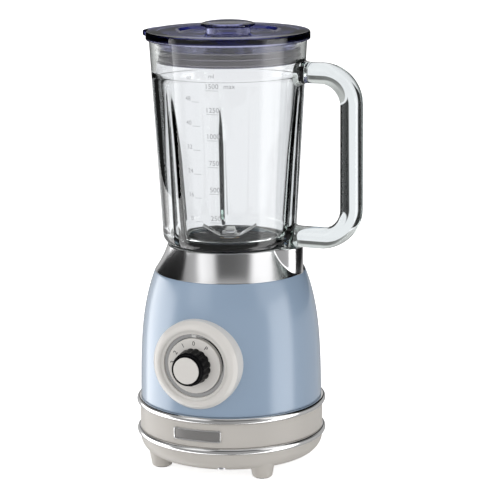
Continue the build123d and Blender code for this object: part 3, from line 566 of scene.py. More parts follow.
def settled(obj: bpy.types.Object) -> bpy.types.Mesh:
    """The mesh of an object with its modifiers applied."""
    graph = bpy.context.evaluated_depsgraph_get()
    return bpy.data.meshes.new_from_object(obj.evaluated_get(graph))


def soft_max(first: float, second: float, blend: float) -> float:
    """The larger of two values, with a rounded change-over."""
    return (first + second + sqrt((first - second) ** 2 + blend**2)) / 2


def smooth_step(value: float) -> float:
    """0 below 0, 1 above 1 and a smooth rise between."""
    value = min(1.0, max(0.0, value))
    return value * value * (3 - 2 * value)


def text_bmesh(words: str, size: float, depth: float) -> bmesh.types.BMesh:
    """Lettering as a thin solid, centred on the origin and facing +Z.

    Args:
        words: The characters.
        size: Height of the type.
        depth: Thickness of the solid.

    Returns:
        The lettering.
    """
    font = bpy.data.curves.new("lettering", "FONT")
    font.body = words
    font.size = size
    font.extrude = depth / 2
    font.align_x = "CENTER"
    font.align_y = "CENTER"
    font.resolution_u = 4
    holder = bpy.data.objects.new("lettering", font)
    bpy.context.scene.collection.objects.link(holder)
    bpy.context.view_layer.update()
    mesh = settled(holder)
    bm = bmesh.new()
    bm.from_mesh(mesh)
    bpy.data.objects.remove(holder)
    bpy.data.curves.remove(font)
    bpy.data.meshes.remove(mesh)
    bmesh.ops.remove_doubles(bm, verts=bm.verts, dist=MERGE)
    return bm


def bar_bmesh(width: float, height: float, depth: float, cuts: int = 6) -> bmesh.types.BMesh:
    """A flat bar facing +Z, cut along its width so that it can be bent."""
    bm = bmesh.new()
    bmesh.ops.create_cube(bm, size=1.0, matrix=Matrix.Diagonal((width, height, depth, 1)))
    if cuts:
        along = [e for e in bm.edges if abs((e.verts[0].co - e.verts[1].co).x) > width / 2]
        bmesh.ops.subdivide_edges(bm, edges=along, cuts=cuts, use_grid_fill=True)
    return bm


def joined(parts: list[bmesh.types.BMesh]) -> bmesh.types.BMesh:
    """One bmesh that holds every part."""
    whole = bmesh.new()
    for part in parts:
        mesh = bpy.data.meshes.new("part")
        part.to_mesh(mesh)
        part.free()
        whole.from_mesh(mesh)
        bpy.data.meshes.remove(mesh)
    return whole


# --------------------------------------------------------------------------- motor base


@dataclass
class BossShape:
    """The lobe of the collar under the jar's handle, as a radius round the axis."""

    radius: float = 22.6 * MM
    reach: float = 69.6 * MM
    blend: float = 0.5 * MM

    def radius_at(self, angle: float, other: float) -> float:
        """The larger of the lobe and another radius at an angle.

        Args:
            angle: Angle round the axis, from the handle's side.
            other: The radius that the lobe grows out of.

        Returns:
            The radius of the merged outline.
        """
        centre = self.reach - self.radius
        inside = self.radius**2 - (centre * sin(angle)) ** 2
        if inside <= 0 or cos(angle) <= 0:
            return other
        lobe = centre * cos(angle) + sqrt(inside)
        return soft_max(other, lobe, self.blend) if lobe > other - 3 * MM else other


@dataclass
class MotorHousing:
    """The blue lacquered housing and what stands under it."""

    lean: float = 1.8 * MM
    shoulder: float = 12.8 * MM
    power: float = 3.5
    wall: float = 3.0 * MM
    edge: float = 0.7 * MM
    ring_proud: float = 2.9 * MM
    badge_sunk: float = 0.6 * MM
    badge_rim: float = 1.2 * MM
    badge_proud: float = 1.6 * MM
    badge_corner: float = 2.0 * MM
    foot_radius: float = 9.0 * MM
    foot_taper: float = radians(10)
    pad_radius: float = 7.05 * MM
    pad_depth: float = 1.2 * MM

    def __post_init__(self) -> None:
        """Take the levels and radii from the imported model."""
        self.foot_z = high("trim_ring_upper").z
        self.top_z = low("steel_collar").z
        self.radius = high("motor_housing").y
        self.band_radius = high("trim_band").y

    def radius_at(self, height: float) -> float:
        """Outside radius of the housing at a height."""
        rise = (height - self.foot_z) / (self.top_z - self.foot_z)
        return self.radius - self.lean * rise - self.shoulder * max(0.0, rise) ** self.power

    def housing(self) -> None:
        """The domed shell."""
        outer = curve_points(self.foot_z + self.edge, self.top_z - self.edge, 56, self.radius_at)
        start, end = outer[0], outer[-1]
        lip = 0.3 * self.edge
        foot = [(start[0] - self.edge, self.foot_z), (start[0] - lip, self.foot_z + lip)]
        top = [(end[0] - 0.4 * self.edge, self.top_z - lip), (end[0] - self.edge, self.top_z)]
        inner = curve_points(self.top_z, self.foot_z, 20, lambda z: self.radius_at(z) - self.wall)
        bm = lathe(foot + outer + top + inner, FINE)
        piece("housing_shell", bm, PALETTE.lacquer, Body.BASE, ("motor_housing",))

    def trim_ring(self, name: str, node: str) -> None:
        """A half-round chrome ring."""
        bottom, top = low(node).z, high(node).z
        half = (top - bottom) / 2
        inner = self.band_radius - 3 * MM
        bulge = arc((self.band_radius, bottom + half), (self.ring_proud, half), -90, 90, 16)
        bm = lathe([(inner, bottom)] + bulge + [(inner, top)], FINE)
        piece(name, bm, PALETTE.chrome, Body.BASE, (node,))

    def band(self) -> None:
        """The plain cream band between the chrome rings."""
        bottom, top = low("trim_band").z, high("trim_band").z
        inner = self.band_radius - self.wall
        outer, edge = self.band_radius, self.edge
        bm = lathe(rounded([(inner, bottom), (outer, bottom, edge), (outer, top, edge), (inner, top)]), FINE)
        piece("cream_band", bm, PALETTE.cream, Body.BASE, ("trim_band",))

    def plaque(self, width: float, height: float, rim: float, depth: float) -> bmesh.types.BMesh:
        """A thin plate with rounded corners, bent to the band and standing on it.

        Args:
            width: Size round the band.
            height: Size up the band.
            rim: Width of the frame when only a frame is wanted, or 0 for a whole plate.
            depth: How far it stands proud.

        Returns:
            The plate or frame.
        """
        lowest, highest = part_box("badge_plate")
        middle = (highest.z + lowest.z) / 2
        bm = bmesh.new()
        bmesh.ops.create_grid(bm, x_segments=24, y_segments=6, size=0.5)
        bmesh.ops.scale(bm, vec=(width, height, 1), verts=bm.verts)
        corners = [v for v in bm.verts if len(v.link_faces) == 1]
        bmesh.ops.bevel(
            bm, geom=corners, affect="VERTICES", offset=self.badge_corner, segments=5, profile=0.5,
            material=-1,
        )
        if rim:
            whole = list(bm.faces)
            bmesh.ops.inset_region(bm, faces=whole, thickness=rim, use_boundary=True, use_even_offset=True)
            bmesh.ops.delete(bm, geom=whole, context="FACES")
        bmesh.ops.solidify(bm, geom=bm.faces, thickness=-depth - self.badge_sunk)
        tidy(bm)
        sharp = [e for e in bm.edges if e.calc_face_angle(0) > radians(60)]
        bmesh.ops.bevel(
            bm, geom=sharp, affect="EDGES", offset=0.25 * MM, segments=3, profile=0.5, material=-1
        )
        top = max(v.co.z for v in bm.verts)
        for vert in bm.verts:
            around = vert.co.x / self.band_radius
            radius = self.band_radius + depth - top + vert.co.z
            vert.co = Vector((radius * sin(around), -radius * cos(around), middle + vert.co.y))
        return tidy(bm)

    def badge(self) -> None:
        """The blank badge: a dull plate in a bright raised frame, bent to the band."""
        lowest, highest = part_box("badge_plate")
        width, height = highest.x - lowest.x, highest.z - lowest.z
        proud = min(self.badge_proud, -lowest.y - self.band_radius)
        inset = 0.8 * MM
        piece(
            "blank_badge", self.plaque(width - inset, height - inset, 0, proud - self.badge_sunk),
            PALETTE.badge, Body.BASE, ("badge_plate",), angle=radians(25),
        )
        piece(
            "badge_frame", self.plaque(width, height, self.badge_rim, proud), PALETTE.chrome, Body.BASE,
            angle=radians(25),
        )

    def feet(self) -> None:
        """The four round tapered feet."""
        reach = high("foot_pads").x - 7.0 * MM
        for node in ("foot_rear_right", "foot_rear_left", "foot_front_left", "foot_front_right"):
            lowest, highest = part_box(node)
            centre = Vector((reach if lowest.x > 0 else -reach, reach if lowest.y > 0 else -reach, 0))
            top, sole = highest.z + 0.5 * MM, lowest.z + self.pad_depth
            wide = self.foot_radius + (top - lowest.z) * tan(self.foot_taper)
            outline = rounded(
                [(0, sole), (self.pad_radius, sole), (self.pad_radius, lowest.z),
                 (self.foot_radius, lowest.z, 1.3 * MM), (wide, top), (0, top)]
            )
            piece(
                node + "_moulding", lathe(outline, SMALL), PALETTE.cream, Body.BASE, (node,),
                Matrix.Translation(centre),
            )

    def build(self) -> None:
        """Model and dress the housing, rings, band, badge and feet."""
        self.housing()
        self.trim_ring("upper_chrome_ring", "trim_ring_upper")
        self.trim_ring("lower_chrome_ring", "trim_ring_lower")
        self.band()
        self.badge()
        self.feet()


@dataclass
class Collar:
    """The flared steel collar with its lobe under the handle."""

    waist: float = 60.6 * MM
    waist_share: float = 0.55
    top_radius: float = 56.4 * MM
    foot_radius: float = 68.6 * MM
    wall: float = 1.5 * MM
    boss: BossShape = field(default_factory=BossShape)

    def radius_at(self, share: float) -> float:
        """Radius of the flare, as a smooth curve through foot, waist and top."""
        a, b, c = self.foot_radius, self.waist, self.top_radius
        s = self.waist_share
        foot = a * (share - s) * (share - 1) / s
        waist = b * share * (share - 1) / (s * (s - 1))
        return foot + waist + c * share * (share - s) / (1 - s)

    def build(self) -> None:
        """Spin the flare, then push out the lobe."""
        bottom, top = low("steel_collar").z, high("steel_collar").z
        tall = top - bottom
        edge = 0.5 * MM
        flare = curve_points(bottom + edge, top - edge, 40, lambda z: self.radius_at((z - bottom) / tall))
        seat = self.top_radius - self.wall
        lip = [(self.foot_radius - edge, bottom), (self.foot_radius - 0.15 * MM, bottom + 0.15 * MM)]
        rim = [(self.top_radius - 0.3 * edge, top - 0.3 * edge), (self.top_radius - edge, top), (seat, top)]
        inside = [(seat, top - 2 * MM), (self.foot_radius - self.wall, bottom)]
        bm = lathe(lip + flare + rim + inside, 360)
        for vert in bm.verts:
            radius = hypot(vert.co.x, vert.co.y)
            under = vert.co.z < bottom + 0.01 * MM and radius < self.foot_radius - 1 * MM
            if under or radius < seat + 0.1 * MM:
                continue
            angle = atan2(vert.co.y, vert.co.x)
            inset = max(0.0, vert.co.z - (top - edge))
            wide = self.boss.radius_at(angle, radius + inset) - inset
            vert.co.x *= wide / radius
            vert.co.y *= wide / radius
        piece("collar_shell", tidy(bm), PALETTE.collar, Body.BASE, ("steel_collar",))


@dataclass
class Dial:
    """The dial: bezel, mirror ring, number plate and knob, all turned about the dial's axis."""

    inner: float = 28.9 * MM
    crest: float = 34.5 * MM
    scallops: int = 16
    scallop_depth: float = 1.0 * MM
    digit_circle: float = 20.4 * MM
    digit_size: float = 5.6 * MM
    digits: tuple[tuple[str, float], ...] = (("0", 0), ("1", 30), ("2", 58), ("3", 85), ("P", -35))

    def __post_init__(self) -> None:
        """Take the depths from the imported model; they count forwards from the motor's axis."""
        self.front = -low("dial_bezel").y
        self.radius = (high("dial_bezel").x - low("dial_bezel").x) / 2
        self.ring_back, self.ring_front = -high("dial_ring").y, -low("dial_ring").y
        self.plate_back, self.plate_front = -high("dial_plate").y, -low("dial_plate").y
        self.knob_back, self.knob_front = -high("knob_grip").y, -low("knob_grip").y
        self.disc_front = -low("knob_disc").y
        self.place = facing_front()

    def bezel(self) -> None:
        """The domed cream ring that frames the dial."""
        edge = self.front - 6.2 * MM
        outline = rounded(
            [
                (self.inner, self.front - 14 * MM),
                (self.inner, self.front - 2.6 * MM, 0.5 * MM),
                (self.inner + 2.2 * MM, self.front - 2.0 * MM, 1.2 * MM),
                (self.crest - 1.6 * MM, self.front, 2.6 * MM),
                (self.radius - 3.2 * MM, self.front - 1.8 * MM, 5.0 * MM),
                (self.radius, edge, 2.0 * MM),
                (self.radius, self.front - 22 * MM),
            ],
            10,
        )
        piece(
            "dial_surround", lathe(outline, FINE), PALETTE.dial_cream, Body.BASE,
            ("dial_bezel",), self.place,
        )

    def mirror_ring(self) -> None:
        """The recessed chrome ring."""
        outer = self.inner - 0.1 * MM
        inner = outer - 3.3 * MM
        outline = rounded(
            [
                (inner, self.ring_back), (outer, self.ring_back), (outer, self.ring_front, 0.3 * MM),
                (inner, self.ring_front - 0.5 * MM, 0.3 * MM),
            ]
        )
        piece(
            "dial_mirror_ring", lathe(outline, FINE), PALETTE.chrome, Body.BASE,
            ("dial_ring",), self.place,
        )

    def index(self) -> None:
        """The index: a small clear frame over the ring, at the top."""
        lowest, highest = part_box("index_mark")
        size = highest - lowest
        bm = bmesh.new()
        bmesh.ops.create_cube(bm, size=1.0, matrix=Matrix.Diagonal((*size, 1)))
        front = [f for f in bm.faces if f.normal.y < -0.9]
        bmesh.ops.inset_region(bm, faces=front, thickness=0.6 * MM, depth=-0.35 * MM, use_even_offset=True)
        bmesh.ops.bevel(
            bm, geom=[e for e in bm.edges if e.calc_length() > 0.6 * MM], affect="EDGES", offset=0.12 * MM,
            segments=2, profile=0.5, material=-1,
        )
        place = Matrix.Translation((highest + lowest) / 2)
        piece("index_frame", tidy(bm), PALETTE.lens, Body.BASE, ("index_mark",), place)

    def number_plate(self) -> None:
        """The cream plate that turns with the knob."""
        radius = 25.0 * MM
        outline = rounded(
            [
                (8.5 * MM, self.plate_back), (radius, self.plate_back), (radius, self.plate_front, 0.9 * MM),
                (0, self.plate_front), (0, self.plate_front - 1 * MM), (8.5 * MM, self.plate_front - 1 * MM),
            ]
        )
        piece(
            "number_plate", lathe(outline, FINE), PALETTE.dial_cream, Body.KNOB,
            ("dial_plate",), self.place,
        )

    def numbers(self) -> None:
        """The speeds, printed round the plate."""
        parts = []
        for mark, turn in self.digits:
            bm = text_bmesh(mark, self.digit_size, 0.16 * MM)
            out = Matrix.Translation((0, self.digit_circle, self.plate_front))
            bmesh.ops.transform(bm, matrix=Matrix.Rotation(radians(turn), 4, "Z") @ out, verts=bm.verts)
            parts.append(bm)
        piece("dial_numbers", joined(parts), PALETTE.dial_ink, Body.KNOB, (), self.place)

    def knob(self) -> None:
        """The scalloped black grip with its smooth cap rim."""
        skirt, rim = 16.4 * MM, 14.1 * MM
        back, front = self.knob_back, self.knob_front
        shoulder = front - 4.0 * MM
        disc = 12.05 * MM
        outline = rounded(
            [
                (3 * MM, back), (skirt, back, 0.6 * MM), (skirt - 1.2 * MM, shoulder, 1.5 * MM),
                (rim, shoulder + 0.9 * MM, 0.5 * MM), (rim, front, 1.0 * MM), (disc, front, 0.3 * MM),
                (disc, front - 1.0 * MM), (3 * MM, front - 1.0 * MM),
            ]
        )
        draft = 1.2 * MM / (shoulder - back)
        walls = curve_points(back + 1.2 * MM, shoulder - 2.0 * MM, 6, lambda z: skirt - draft * (z - back))
        outline = self.insert_after(outline, walls, back + 0.62 * MM)
        bm = lathe(outline, 320)
        for vert in bm.verts:
            radius = hypot(vert.co.x, vert.co.y)
            if radius < rim + 0.02 * MM:
                continue
            wave = abs(sin(self.scallops * atan2(vert.co.y, vert.co.x) / 2))
            fade = smooth_step((shoulder + 0.6 * MM - vert.co.z) / (2.6 * MM))
            cut = self.scallop_depth * (1 - wave**0.8) * fade
            vert.co.x *= (radius - cut) / radius
            vert.co.y *= (radius - cut) / radius
        piece("knob_body", tidy(bm), PALETTE.black, Body.KNOB, ("knob_grip",), self.place)

    @staticmethod
    def insert_after(outline: list[Point], extra: list[Point], height: float) -> list[Point]:
        """Insert points into an outline where it first climbs past a height on its outside."""
        widest = max(radius for radius, _ in outline)
        for index, (radius, level) in enumerate(outline):
            if radius > widest - 0.3 * MM and level >= height - 0.3 * MM:
                return outline[: index + 1] + extra + outline[index + 1 :]
        return outline

    def knob_cap(self) -> None:
        """The cream disc in the knob's end."""
        disc, front = 12.0 * MM, self.disc_front
        back = front - 1.8 * MM
        outline = rounded(
            [(0, back), (disc, back), (disc, front - 0.15 * MM, 0.5 * MM), (disc * 0.6, front - 0.04 * MM),
             (0, front)]
        )
        piece(
            "knob_cap_disc", lathe(outline, MEDIUM), PALETTE.dial_cream, Body.KNOB,
            ("knob_disc",), self.place,
        )

    def build(self) -> None:
        """Model and dress every piece of the dial."""
        self.bezel()
        self.mirror_ring()
        self.index()
        self.number_plate()
        self.numbers()
        self.knob()
        self.knob_cap()


# --------------------------------------------------------------------------- jar


@dataclass
class GlassJar:
    """The clear jar: a turned wall with three flutes, and a solid loop handle."""

    wall: float = 5.5 * MM
    foot_rise: float = 8.0 * MM
    foot_radius: float = 60.6 * MM
    floor: float = 5.0 * MM
    neck_wall: float = 6.0 * MM
    mouth_depth: float = 32.5 * MM
    rim_round: float = 1.6 * MM
    flutes: int = 3
    flute_drop: float = 37.0 * MM
    flute_deep: float = 3.2 * MM
    flute_wide: float = 3.8 * MM
    rib_high: float = 4.6 * MM
    rib_wide: float = 7.0 * MM
    crowding: float = 0.7
    handle_low: float = 8.6 * MM
    handle_high: float = 28.8 * MM
    handle_depth: float = 18.6 * MM
    handle_width: float = 24.0 * MM
    handle_square: float = 0.72
    handle_sunk: float = 3.2 * MM
    swell: float = 1.36
    swell_length: float = 13.0 * MM
    upper_swell: tuple = ((3.0, 0.97), (1.5, 0.91), (1.5, 0.92), (2.0, 0.94), (2.5, 0.967), (2.5, 0.992))
    lower_swell: tuple = ((2.5, 0.995), (2.5, 0.98), (2.0, 0.96), (1.5, 0.95), (1.5, 0.95), (3.0, 0.98))
    grip_steps: int = 8
    bend_steps: int = 18
    bend: float = 28.0 * MM
    gap: float = 0.8 * MM
    levels: tuple[float, ...] = (32.0, 57.9, 81.9, 105.8, 129.1, 150.1)
    first_ounces: float = 31.4
    ounce_step: float = 21.5

    def __post_init__(self) -> None:
        """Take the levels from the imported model."""
        self.neck_z = low("jar").z
        self.foot_z = high("steel_collar").z + self.gap
        self.top = high("jar").z
        self.mouth = high("jar").y
        self.reach = high("jar").x
        self.neck_radius = high("jar_seal").y
        self.neck_inner = self.neck_radius - self.neck_wall
        self.ledge = self.top - self.mouth_depth

    def outer_at(self, height: float) -> float:
        """Outside radius of the tapering wall."""
        share = (height - self.foot_z - self.foot_rise) / (self.top - self.foot_z - self.foot_rise)
        return self.foot_radius + (self.mouth - self.foot_radius) * share

    def outline(self) -> list[Point]:
        """The wall's section, from the foot round the rim and down the inside to the neck."""
        start = self.foot_z + self.foot_rise
        outside = curve_points(start, self.top - self.rim_round, 52, self.outer_at)
        foot = arc((self.foot_radius - self.foot_rise, start), (self.foot_rise,) * 2, -90, 0, 10)[:-1]
        mouth_inner = self.mouth - self.wall
        curl = self.rim_round
        rim = arc((self.mouth - curl, self.top - curl), (curl,) * 2, 0, 90, 5)[1:]
        inner_rim = [
            (mouth_inner + 0.8 * MM, self.top), (mouth_inner + 0.2 * MM, self.top - 0.3 * MM),
            (mouth_inner, self.top - 1 * MM),
        ]
        throat = curve_points(self.top - 3 * MM, self.ledge + 0.4 * MM, 8, lambda z: mouth_inner)
        below = self.outer_at(self.ledge) - self.wall
        step_down = [
            (mouth_inner - 0.1 * MM, self.ledge + 0.1 * MM), (mouth_inner - 0.4 * MM, self.ledge),
            (below + 0.4 * MM, self.ledge), (below + 0.1 * MM, self.ledge - 0.1 * MM),
            (below, self.ledge - 0.5 * MM),
        ]
        base = start + 7 * MM
        inside = curve_points(self.ledge - 4 * MM, base, 46, lambda z: self.outer_at(z) - self.wall)
        low_radius = self.outer_at(base) - self.wall
        bowl_deep = base - self.foot_z - self.floor
        bowl_wide = low_radius - self.neck_inner - 2 * MM
        bowl = arc((low_radius - bowl_wide, base), (bowl_wide, bowl_deep), 0, -90, 9)[1:]
        floor = self.foot_z + self.floor
        neck = [
            (self.neck_inner + 0.5 * MM, floor - 0.4 * MM), (self.neck_inner, floor - 1.4 * MM),
            (self.neck_inner, self.neck_z), (self.neck_radius, self.neck_z), (self.neck_radius, self.foot_z),
        ]
        return foot + outside + rim + inner_rim + throat + step_down + inside + bowl + neck

    def flute(self, bm: bmesh.types.BMesh) -> None:
        """Press three flutes into the wall: a groove outside and a rib inside, fading to a point."""
        tip = self.top - self.flute_drop
        for vert in bm.verts:
            radius = hypot(vert.co.x, vert.co.y)
            if radius > 0:
                angle = atan2(vert.co.y, vert.co.x)
                angle -= self.crowding * sin(self.flutes * angle) / self.flutes
                vert.co.x, vert.co.y = radius * cos(angle), radius * sin(angle)
            if radius < self.neck_inner + 1.5 * MM or vert.co.z < self.foot_z - 0.1 * MM:
                continue
            share = (tip - vert.co.z) / (tip - self.foot_z)
            if share <= 0:
                continue
            rise = smooth_step(share * 2.2) * (0.45 + 0.55 * share)
            angle = atan2(vert.co.y, vert.co.x)
            step = 2 * pi / self.flutes
            off = (angle + step / 2) % step - step / 2
            aside = off * radius
            under = vert.co.z < self.foot_z + self.floor - 1 * MM
            if under or radius > self.outer_at(vert.co.z) - self.wall / 2:
                wide = self.flute_wide * (0.45 + 0.55 * share)
                push = self.flute_deep * rise * max(0.0, 1 - abs(aside) / wide)
            else:
                wide = self.rib_wide * (0.4 + 0.6 * rise)
                rise *= smooth_step((vert.co.z - self.foot_z - self.floor + 1 * MM) / (9 * MM)) * 0.7 + 0.3
                push = self.rib_high * rise * exp(-((aside / wide) ** 2))
            vert.co.x *= (radius - push) / radius
            vert.co.y *= (radius - push) / radius

    def handle_ring(self, bm: bmesh.types.BMesh, scale: float, at: Vector) -> list:
        """The handle's section as a ring of edges, facing +X.

        Args:
            bm: Where the ring is made.
            scale: How much larger than the grip it is.
            at: Its centre.

        Returns:
            The ring's edges.
        """
        made = bmesh.ops.create_circle(bm, cap_ends=False, radius=1.0, segments=48)
        for vert in made["verts"]:
            angle = atan2(vert.co.y, vert.co.x)
            across = abs(cos(angle)) ** self.handle_square * (1 if cos(angle) > 0 else -1)
            up = abs(sin(angle)) ** self.handle_square * (1 if sin(angle) > 0 else -1)
            half = scale / 2
            vert.co = at + Vector((0, across * self.handle_width * half, up * self.handle_depth * half))
        return list({e for v in made["verts"] for e in v.link_edges})

    def advance(self, bm: bmesh.types.BMesh, edges: list, move: Vector, scale: float = 1.0) -> list:
        """Extrude a ring of edges along a vector, scaling it about its centre."""
        made = bmesh.ops.extrude_edge_only(bm, edges=edges)["geom"]
        verts = [g for g in made if isinstance(g, bmesh.types.BMVert)]
        bmesh.ops.translate(bm, vec=move, verts=verts)
        if scale != 1.0:
            middle = sum((v.co for v in verts), Vector()) / len(verts)
            bmesh.ops.scale(bm, vec=(scale,) * 3, verts=verts, space=Matrix.Translation(-middle))
        ring = set(verts)
        return [g for g in made if isinstance(g, bmesh.types.BMEdge) and set(g.verts) <= ring]

    def turn(self, bm: bmesh.types.BMesh, edges: list, centre: Vector, angle: float) -> list:
        """Sweep a ring of edges round one of the handle's bends."""
        verts = list({v for e in edges for v in e.verts})
        made = bmesh.ops.spin(
            bm, geom=verts + edges, cent=centre, axis=(0, 1, 0), dvec=(0, 0, 0), angle=angle,
            steps=self.bend_steps, use_merge=False, use_normal_flip=False, use_duplicate=False,
        )
        return [g for g in made["geom_last"] if isinstance(g, bmesh.types.BMEdge)]

    def handle(self) -> bmesh.types.BMesh:
        """The solid loop: out along the upper arm, down the grip and back, with swollen roots."""
        top_z = self.top - self.handle_high
        low_z = self.foot_z + self.handle_low
        bend_x = self.reach - self.handle_depth / 2 - self.bend
        grip = top_z - low_z - 2 * self.bend
        bm = bmesh.new()
        start = self.outer_at(top_z) - self.handle_sunk
        edges = self.handle_ring(bm, self.swell, Vector((start, 0, top_z)))
        first = list(edges)
        for move, scale in self.upper_swell:
            edges = self.advance(bm, edges, Vector((move * MM, 0, 0)), scale)
        edges = self.advance(bm, edges, Vector((bend_x - start - self.swell_length, 0, 0)))
        edges = self.turn(bm, edges, Vector((bend_x, 0, top_z - self.bend)), pi / 2)
        for _ in range(self.grip_steps):
            edges = self.advance(bm, edges, Vector((0, 0, -grip / self.grip_steps)))
        edges = self.turn(bm, edges, Vector((bend_x, 0, low_z + self.bend)), pi / 2)
        end = self.outer_at(low_z + 2 * MM) - self.handle_sunk
        edges = self.advance(bm, edges, Vector((end + self.swell_length - bend_x, 0, 0)))
        for move, slimmer in self.lower_swell:
            edges = self.advance(bm, edges, Vector((-move * MM, 0, 0)), 1 / slimmer)
        bmesh.ops.contextual_create(bm, geom=first)
        bmesh.ops.contextual_create(bm, geom=edges)
        for vert in bm.verts:
            if vert.co.z < self.foot_z:
                vert.co.z = self.foot_z
        return tidy(bm)

    def glass(self) -> None:
        """Join the wall and the handle into one closed piece of glass."""
        bm = lathe(self.outline(), 288)
        self.flute(bm)
        wall_mesh = bpy.data.meshes.new("jar_wall")
        tidy(bm).to_mesh(wall_mesh)
        bm.free()
        handle = self.handle()
        handle_mesh = bpy.data.meshes.new("jar_handle")
        handle.to_mesh(handle_mesh)
        handle.free()
        wall_obj = bpy.data.objects.new("jar_wall", wall_mesh)
        handle_obj = bpy.data.objects.new("jar_handle", handle_mesh)
        for obj in (wall_obj, handle_obj):
            bpy.context.scene.collection.objects.link(obj)
        union = wall_obj.modifiers.new("union", "BOOLEAN")
        union.operation = "UNION"
        union.solver = "EXACT"
        union.object = handle_obj
        bpy.context.view_layer.update()
        mesh = settled(wall_obj)
        for obj in (wall_obj, handle_obj):
            bpy.data.objects.remove(obj)
        adopt("jar_glass", mesh, PALETTE.glass, Body.JAR, ("jar",), radians(50))

    def wrap(self, bm: bmesh.types.BMesh, across: float, height: float) -> None:
        """Bend flat lettering onto the outside of the wall, at the front.

        Args:
            bm: The lettering, facing +Z.
            across: Distance round the wall from the middle of the front.
            height: Level of its middle.
        """
        for vert in bm.verts:
            z = height + vert.co.y
            radius = self.outer_at(z) + 0.06 * MM + vert.co.z
            angle = (across + vert.co.x) / radius
            vert.co = Vector((radius * sin(angle), -radius * cos(angle), z))

    def scale_marks(self) -> None:
        """The printed measuring scale: millilitres on the right, ounces on the left."""
        parts = []
        last = self.foot_z + self.levels[-1] * MM
        thin = 0.04 * MM

        def add(bm: bmesh.types.BMesh, across: float, height: float) -> None:
            """Wrap one mark onto the wall and keep it."""
            self.wrap(bm, across * MM, height)
            parts.append(bm)

        for step, above in enumerate(self.levels, 1):
            level = self.foot_z + above * MM
            ounces = self.foot_z + (self.first_ounces + self.ounce_step * (step - 1)) * MM
            add(text_bmesh(str(250 * step), 6.2 * MM, thin), 11.5, level)
            add(bar_bmesh(11 * MM, 0.35 * MM, thin), 11.5, level - 3.6 * MM)
            add(text_bmesh(str(8 * step), 5.4 * MM, thin), -11.0, ounces)
            add(bar_bmesh(7 * MM, 0.35 * MM, thin), -4.0, ounces - 2.7 * MM)
        add(text_bmesh("max", 6.0 * MM, thin), 27.0, last)
        add(text_bmesh("ml", 5.2 * MM, thin), 11.5, last + 9 * MM)
        add(text_bmesh("oz", 5.2 * MM, thin), -9.5, last + 7.5 * MM)
        piece("jar_scale", joined(parts), PALETTE.ink, Body.JAR)

    def build(self) -> None:
        """Model and dress the jar."""
        self.glass()
        self.scale_marks()


@dataclass
class BladeUnit:
    """The blade base in the jar's neck and the blades on their spindle."""

    thickness: float = 1.35 * MM
    root: float = 9.5 * MM
    wing: float = 27.5 * MM
    half_chord: float = 6.0 * MM
    sweep: float = 1.6 * MM
    base_radius: float = 42.7 * MM
    base_rise: float = 3.0 * MM
    nut_radius: float = 7.0 * MM

    def base(self) -> None:
        """The domed grey floor that closes the neck."""
        top = high("blade_base").z
        bottom = low("blade_base").z
        outer = high("blade_base").y
        radius = self.base_radius
        edge_z = top - self.base_rise
        dome = arc((0, edge_z), (radius, self.base_rise), 0, 90, 14)[1:-1]
        step_ring = [(radius, edge_z - 0.8 * MM), (radius - 0.15 * MM, edge_z - 0.2 * MM)]
        groove = [(30 * MM, top - 1.15 * MM), (29.4 * MM, top - 1.7 * MM), (28.8 * MM, top - 1.1 * MM)]
        dome = [p for p in dome if p[0] > 31 * MM] + groove + [p for p in dome if p[0] < 28 * MM]
        under, inner = edge_z - 2.4 * MM, radius - 2.4 * MM
        path = (
            [(0, under), (inner, under), (inner, bottom), (outer, bottom), (outer, bottom + 3 * MM),
             (radius, bottom + 3 * MM)]
            + step_ring + dome + [(0, top)]
        )
        piece("blade_floor", lathe(path, MEDIUM), PALETTE.base_grey, Body.JAR, ("blade_base",))

    def blades(self, name: str, node: str, tilt: float, turn: float) -> None:
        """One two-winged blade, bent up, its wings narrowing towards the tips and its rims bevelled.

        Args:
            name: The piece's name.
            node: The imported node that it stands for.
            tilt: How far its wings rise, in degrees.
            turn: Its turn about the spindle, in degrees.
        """
        level = low(node).z
        bm = bmesh.new()
        bmesh.ops.create_grid(bm, x_segments=44, y_segments=6, size=1.0)
        for vert in bm.verts:
            along = abs(vert.co.x)
            side = 1 if vert.co.x > 0 else -1
            lead = vert.co.y * side
            wide = self.half_chord * (1 - 0.45 * max(0.0, along - 0.45) / 0.55 * (1 if lead < 0 else 0.15))
            distance = self.wing * along
            lift = max(0.0, distance - self.root) * sin(radians(tilt))
            flat = min(distance, self.root) + max(0.0, distance - self.root) * cos(radians(tilt))
            sweep = -self.sweep * max(0.0, along - 0.4) ** 1.5 * side
            vert.co = Vector((flat * side, vert.co.y * wide + sweep, level + lift))
        bmesh.ops.recalc_face_normals(bm, faces=bm.faces)
        bmesh.ops.solidify(bm, geom=bm.faces, thickness=-self.thickness)
        rim = [e for e in bm.edges if e.calc_face_angle(0) > radians(60)]
        bmesh.ops.bevel(bm, geom=rim, affect="EDGES", offset=0.3 * MM, segments=2, profile=0.5, material=-1)
        place = Matrix.Rotation(radians(turn), 4, "Z")
        piece(name, tidy(bm), PALETTE.blade, Body.BLADES, (node,), place)

    def nut(self) -> None:
        """The hexagonal nut, with bevelled edges."""
        lowest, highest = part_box("blade_nut")
        bm = bmesh.new()
        bmesh.ops.create_cone(
            bm, cap_ends=True, segments=6, radius1=self.nut_radius, radius2=self.nut_radius,
            depth=highest.z - lowest.z, matrix=Matrix.Translation((0, 0, (highest.z + lowest.z) / 2)),
        )
        bmesh.ops.bevel(
            bm, geom=list(bm.edges), affect="EDGES", offset=0.6 * MM, segments=3, profile=0.5, material=-1
        )
        piece("blade_nut_hex", tidy(bm), PALETTE.blade, Body.BLADES, ("blade_nut",))

    def build(self) -> None:
        """Model and dress the blade unit."""
        self.base()
        self.blades("blades_lower", "lower_blades", 12, 110)
        self.blades("blades_upper", "upper_blades", 32, 20)
        self.nut()


